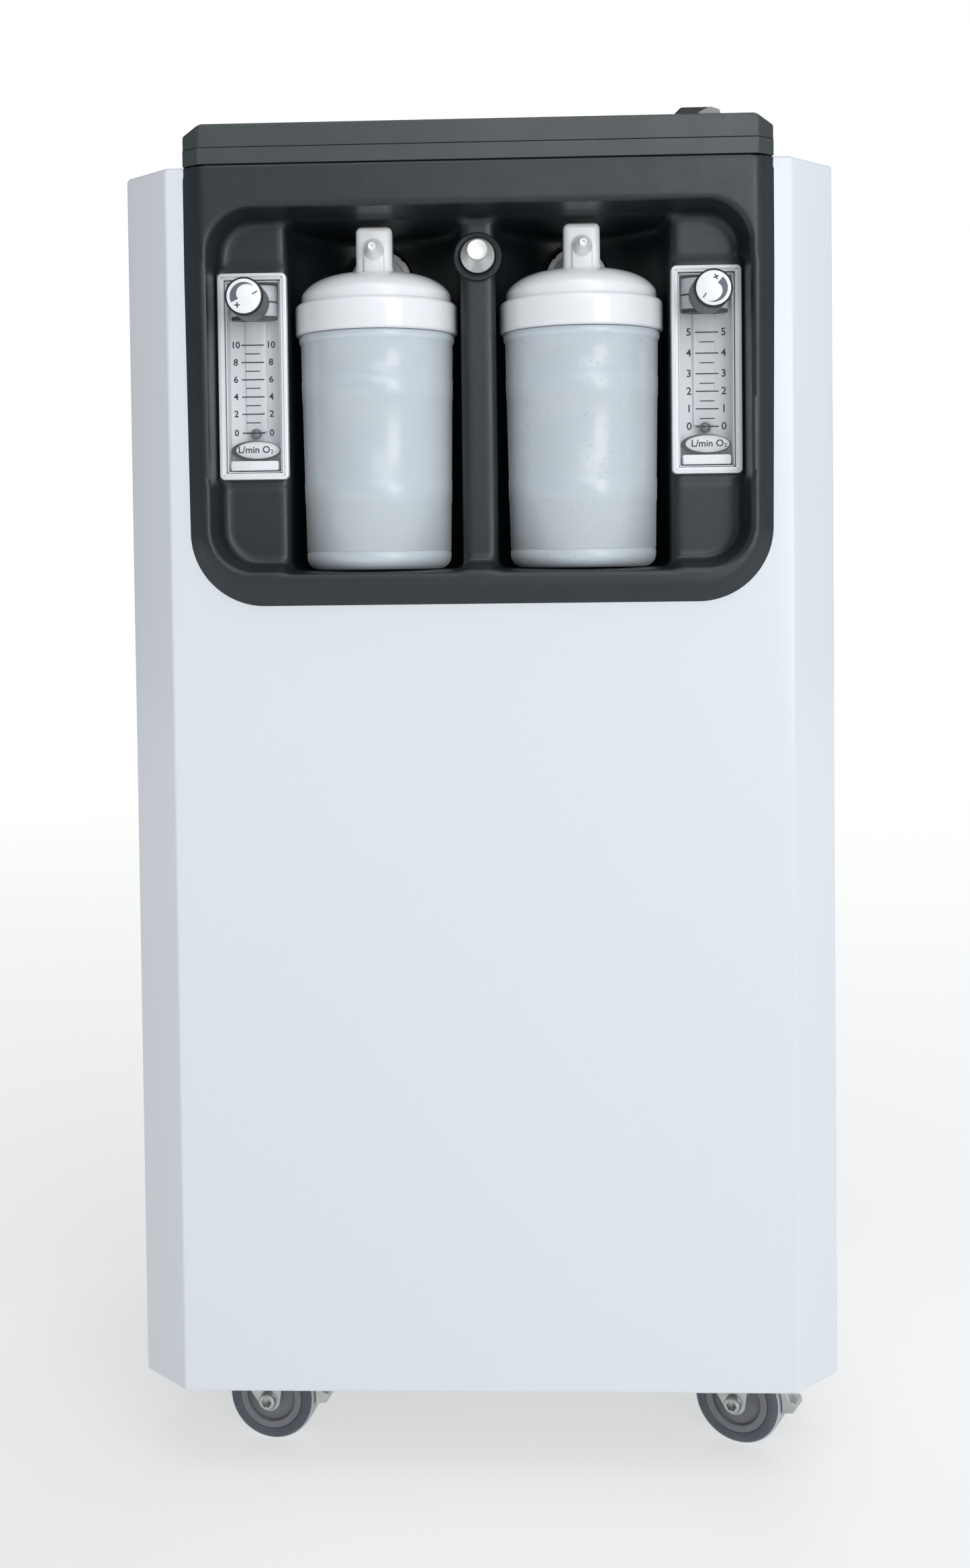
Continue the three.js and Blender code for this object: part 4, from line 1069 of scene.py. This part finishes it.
def central_outlet():
    """A bright flared spout in a dark raised collar."""
    front = cad_box("outlet_socket")[0][1]
    back = 17.3 - front
    collar = [(9.4, 0.9), (9.9, 0.5), (12.0, 0), (12.7, 0.35), (13.0, 1.1), (13.0, back),
              (7.4, back), (7.4, back + 16), (5.7, back + 16), (5.7, 1.3), (9.2, 1.3)]
    piece("outlet_collar", spun(collar, 0, front, OUTLET_Z, closed=True), DARK_PLASTIC, "cabinet",
          "outlet_socket", 30)
    tip = cad_box("outlet_plug")[0][1] - front
    spout = [(0, tip + 0.35), (3.6, tip + 0.3), (4.6, tip + 0.1), (4.95, tip), (5.2, tip + 0.2),
             (5.3, tip + 0.7), (5.3, tip + 5.0), (5.1, tip + 5.4), (4.2, tip + 5.6),
             (4.2, tip + 7.4), (4.8, tip + 7.8), (8.6, -3.2), (9.0, -2.6), (9.0, -0.5),
             (8.5, -0.1), (5.3, 0.2), (5.3, 12), (0, 12)]
    # The spout's diffuse brightness is painted reflection.
    piece("outlet_spout", spun(spout, 0, front, OUTLET_Z), BRIGHT_METAL_PAINTED_REFLECTION, "outlet_plug",
          "outlet_plug", 30)


central_outlet()


# ---- casters

FLOOR_GAP = ORIGIN[2] / MM
WHEEL_RADIUS, WHEEL_HALF = 25.0, 9.7
AXLE_Z = WHEEL_RADIUS - FLOOR_GAP
TRAIL = 10.0
FORK_INNER, FORK_OUTER = 11.0, 13.2
CASTER_TURNS = {"front_left": 12, "front_right": 27, "rear_left": 4, "rear_right": 19}


def at_caster(name, solid):
    """Moves a solid from a caster's own axes, its wheel trailing to +X, to where it stands."""
    x, y = cad_middle(f"caster_plate_{name}")[:2]
    return moved(turned(solid, -CASTER_TURNS[name]), x, y)


def on_axle(profile, segments=96, closed=False):
    return spun(profile, TRAIL, 0, AXLE_Z, segments, closed)


def mirrored(profile):
    """A wheel's profile from its outer half, in (radius, distance from the middle) points."""
    return profile + [(r, -y) for r, y in profile[::-1]]


def wheel(name):
    """A tread, pale partly in the tyre's own two-tone colour and partly as painted light, moulded
    round a slate-grey rim with a ribbed hub in it.
    """
    half, body, round_off = WHEEL_HALF, f"wheel_{name}", 4.6
    bend = (WHEEL_RADIUS - round_off, half - round_off)
    shoulder = arc(bend, round_off - 0.2, 20, 90, 6) + [(18.5, half - 0.2), (18.0, half - 0.7)]
    band = arc(bend, round_off, 0, 38, 4) + [(22.5, half - 2.6)]
    face = [(17.95, half - 0.4), (17.4, half), (14.4, half), (13.9, half - 0.5),
            (13.7, half - 2.4), (8.0, half - 2.7), (7.3, half - 2.0), (7.0, half + 0.1),
            (6.5, half + 0.6), (3.8, half + 0.6)]
    for part, profile, look, node, sharp in (
            ("tyre_side", shoulder, TYRE, body, 50), ("tread", band, TREAD_PARTLY_PAINTED_LIGHT, None, 50),
            ("hub", face, HUB, None, 35)):
        ring = at_caster(name, on_axle(mirrored(profile), closed=True))
        piece(f"{part}_{name}", ring, look, body, node, sharp)


def fork(name):
    """A pressed steel fork: two drawn legs with round ends below a bridge, and its king pin."""
    body, back, front = f"fork_{name}", -13, 19
    leg = [(back, 3.8), (back, -5)] + arc((TRAIL, AXLE_Z), 6.7, 200, 352)
    leg += [(front + 0.4, -8), (front, 3.8)]
    legs = [slab(leg, a, b, 0.5, "Y", 3)
            for a, b in ((FORK_INNER, FORK_OUTER), (-FORK_OUTER, -FORK_INNER))]
    bridge = slab(rectangle(back, front, -FORK_OUTER, FORK_OUTER, 2.0), 1.0, 4.0, 0.9, "Z", 3)
    pin = lathe([(0, 3), (4, 3), (4, 9.6), (3.6, 10), (0, 10)], 32)
    piece(f"fork_steel_{name}", at_caster(name, together(*legs, bridge, pin)), ZINC, body, body, 40)
    end = FORK_OUTER + 0.3
    bolt = on_axle([
        (0, -end - 3.6), (3.2, -end - 3.6), (4.3, -end - 3.1), (4.8, -end - 2.2), (4.8, -end),
        (3.4, -end), (3.4, end), (4.8, end), (4.8, end + 2.6), (4.4, end + 3), (0, end + 3)], 48)
    socket = prism(arc((TRAIL, AXLE_Z), 3.0, 0, 300, 5), -end - 6, -end + 1.5)
    piece(f"axle_bolt_{name}", at_caster(name, bolt), ZINC, body, f"axle_{name}", 35,
          [at_caster(name, socket)])


def caster_plate(name):
    """The square fixing plate with its raceway, and a bolt through each corner."""
    top = cad_box(f"caster_plate_{name}")[1][2]
    plate = slab(rectangle(-24, 24, -24, 24, 3), top - 2.5, top, 0.5, "Z", 3)
    race = lathe([(4.6, 4.5), (12.5, 4.4), (15.2, 4.9), (16, 6.0), (16, 7.6), (15.2, 8.9),
                  (13.6, top - 2), (4.6, top - 2)], 72, closed=True)
    bolts = [moved(lathe([(0, 6.6), (3.6, 6.6), (4.2, 7.3), (4.2, top - 2.2), (0, top - 2.2)], 6),
                   a, b) for a in (-18.5, 18.5) for b in (-18.5, 18.5)]
    x, y = cad_middle(f"caster_plate_{name}")[:2]
    solid = moved(together(plate, race, *bolts), x, y)
    piece(f"plate_steel_{name}", solid, ZINC, "cabinet", f"caster_plate_{name}", 30)


def brake_pedal(name):
    """A stamped lever that hooks over the tread, with a turned-up toe plate."""
    shoe = WHEEL_RADIUS + 0.5
    rim = TRAIL + shoe
    outline = [(20.5, -2.6)] + arc((TRAIL, AXLE_Z), shoe, math.degrees(1.02), -8, 12)
    outline += [(rim + 3, AXLE_Z - 2.4), (rim + 6.5, AXLE_Z - 1.6), (rim + 8, AXLE_Z + 0.9),
                (rim + 7.5, AXLE_Z + 3.8), (rim + 4.5, AXLE_Z + 5), (31, 1), (26, 3.6), (20.5, 3.6)]
    solid = slab(outline, 3 - WHEEL_HALF, WHEEL_HALF - 3, 0.9, "Y", 3)
    node = f"brake_pedal_{name}"
    piece(f"pedal_{name}", at_caster(name, solid), ZINC, node, node, 30)


for name in CASTER_TURNS:
    wheel(name)
    fork(name)
    caster_plate(name)
brake_pedal("front_left")
brake_pedal("front_right")


# ---- the back and the inside


def rear_screws():
    """Cross-head screws along the rear panel's edges, joined into one piece."""
    profile = [(0, 2.1), (1.6, 2.0), (3.0, 1.4), (3.6, 0.5), (3.7, -0.5), (0, -0.5)]
    heads = []
    for x in (-181, 0, 181):
        for z in (14, 644) if x == 0 else (14, 332, 644):
            cross = [bar(x - across, x + across, DEPTH + 0.9, DEPTH + 4, z - tall, z + tall)
                     for across, tall in ((1.9, 0.4), (0.4, 1.9))]
            heads.append(carved(mesh_object("screw", spun(profile, x, DEPTH, z, 28)), *cross))
    with bpy.context.temp_override(active_object=heads[0], selected_editable_objects=heads):
        bpy.ops.object.join()
    heads[0].name = "rear_screws"
    finished(heads[0], ZINC, sharp=40)


rear_screws()
for node, *values in (
        ("rear_panel", WHITE_PAINT, 0.35), ("filter_door", DARK_PLASTIC, 0.9, 3),
        ("intake_filter", FOAM, 1.5, 3), ("power_inlet", BLACK_MATT, 0.4, 3),
        ("breaker_button", BLACK_PLASTIC, 0.4, 3), ("base_tray", ZINC, 0.4),
        ("internal_shelf", ZINC, 0.4), ("compressor", CAST_ALLOY, 1.6, 3),
        ("sieve_tower_left", CAST_ALLOY, 1.0, 3), ("sieve_tower_right", CAST_ALLOY, 1.0, 3),
        ("valve_block", CAST_ALLOY, 1.0, 3), ("oxygen_tank", WHITE_PLASTIC, 1.0, 3),
        ("fan_frame", BLACK_MATT, 0.6), ("fan_rotor", BLACK_MATT, 0.3),
        ("cooling_coil", COPPER, 0.3, 1, 70), ("control_board", BOARD_GREEN, 0.3)):
    softened(node, *values)
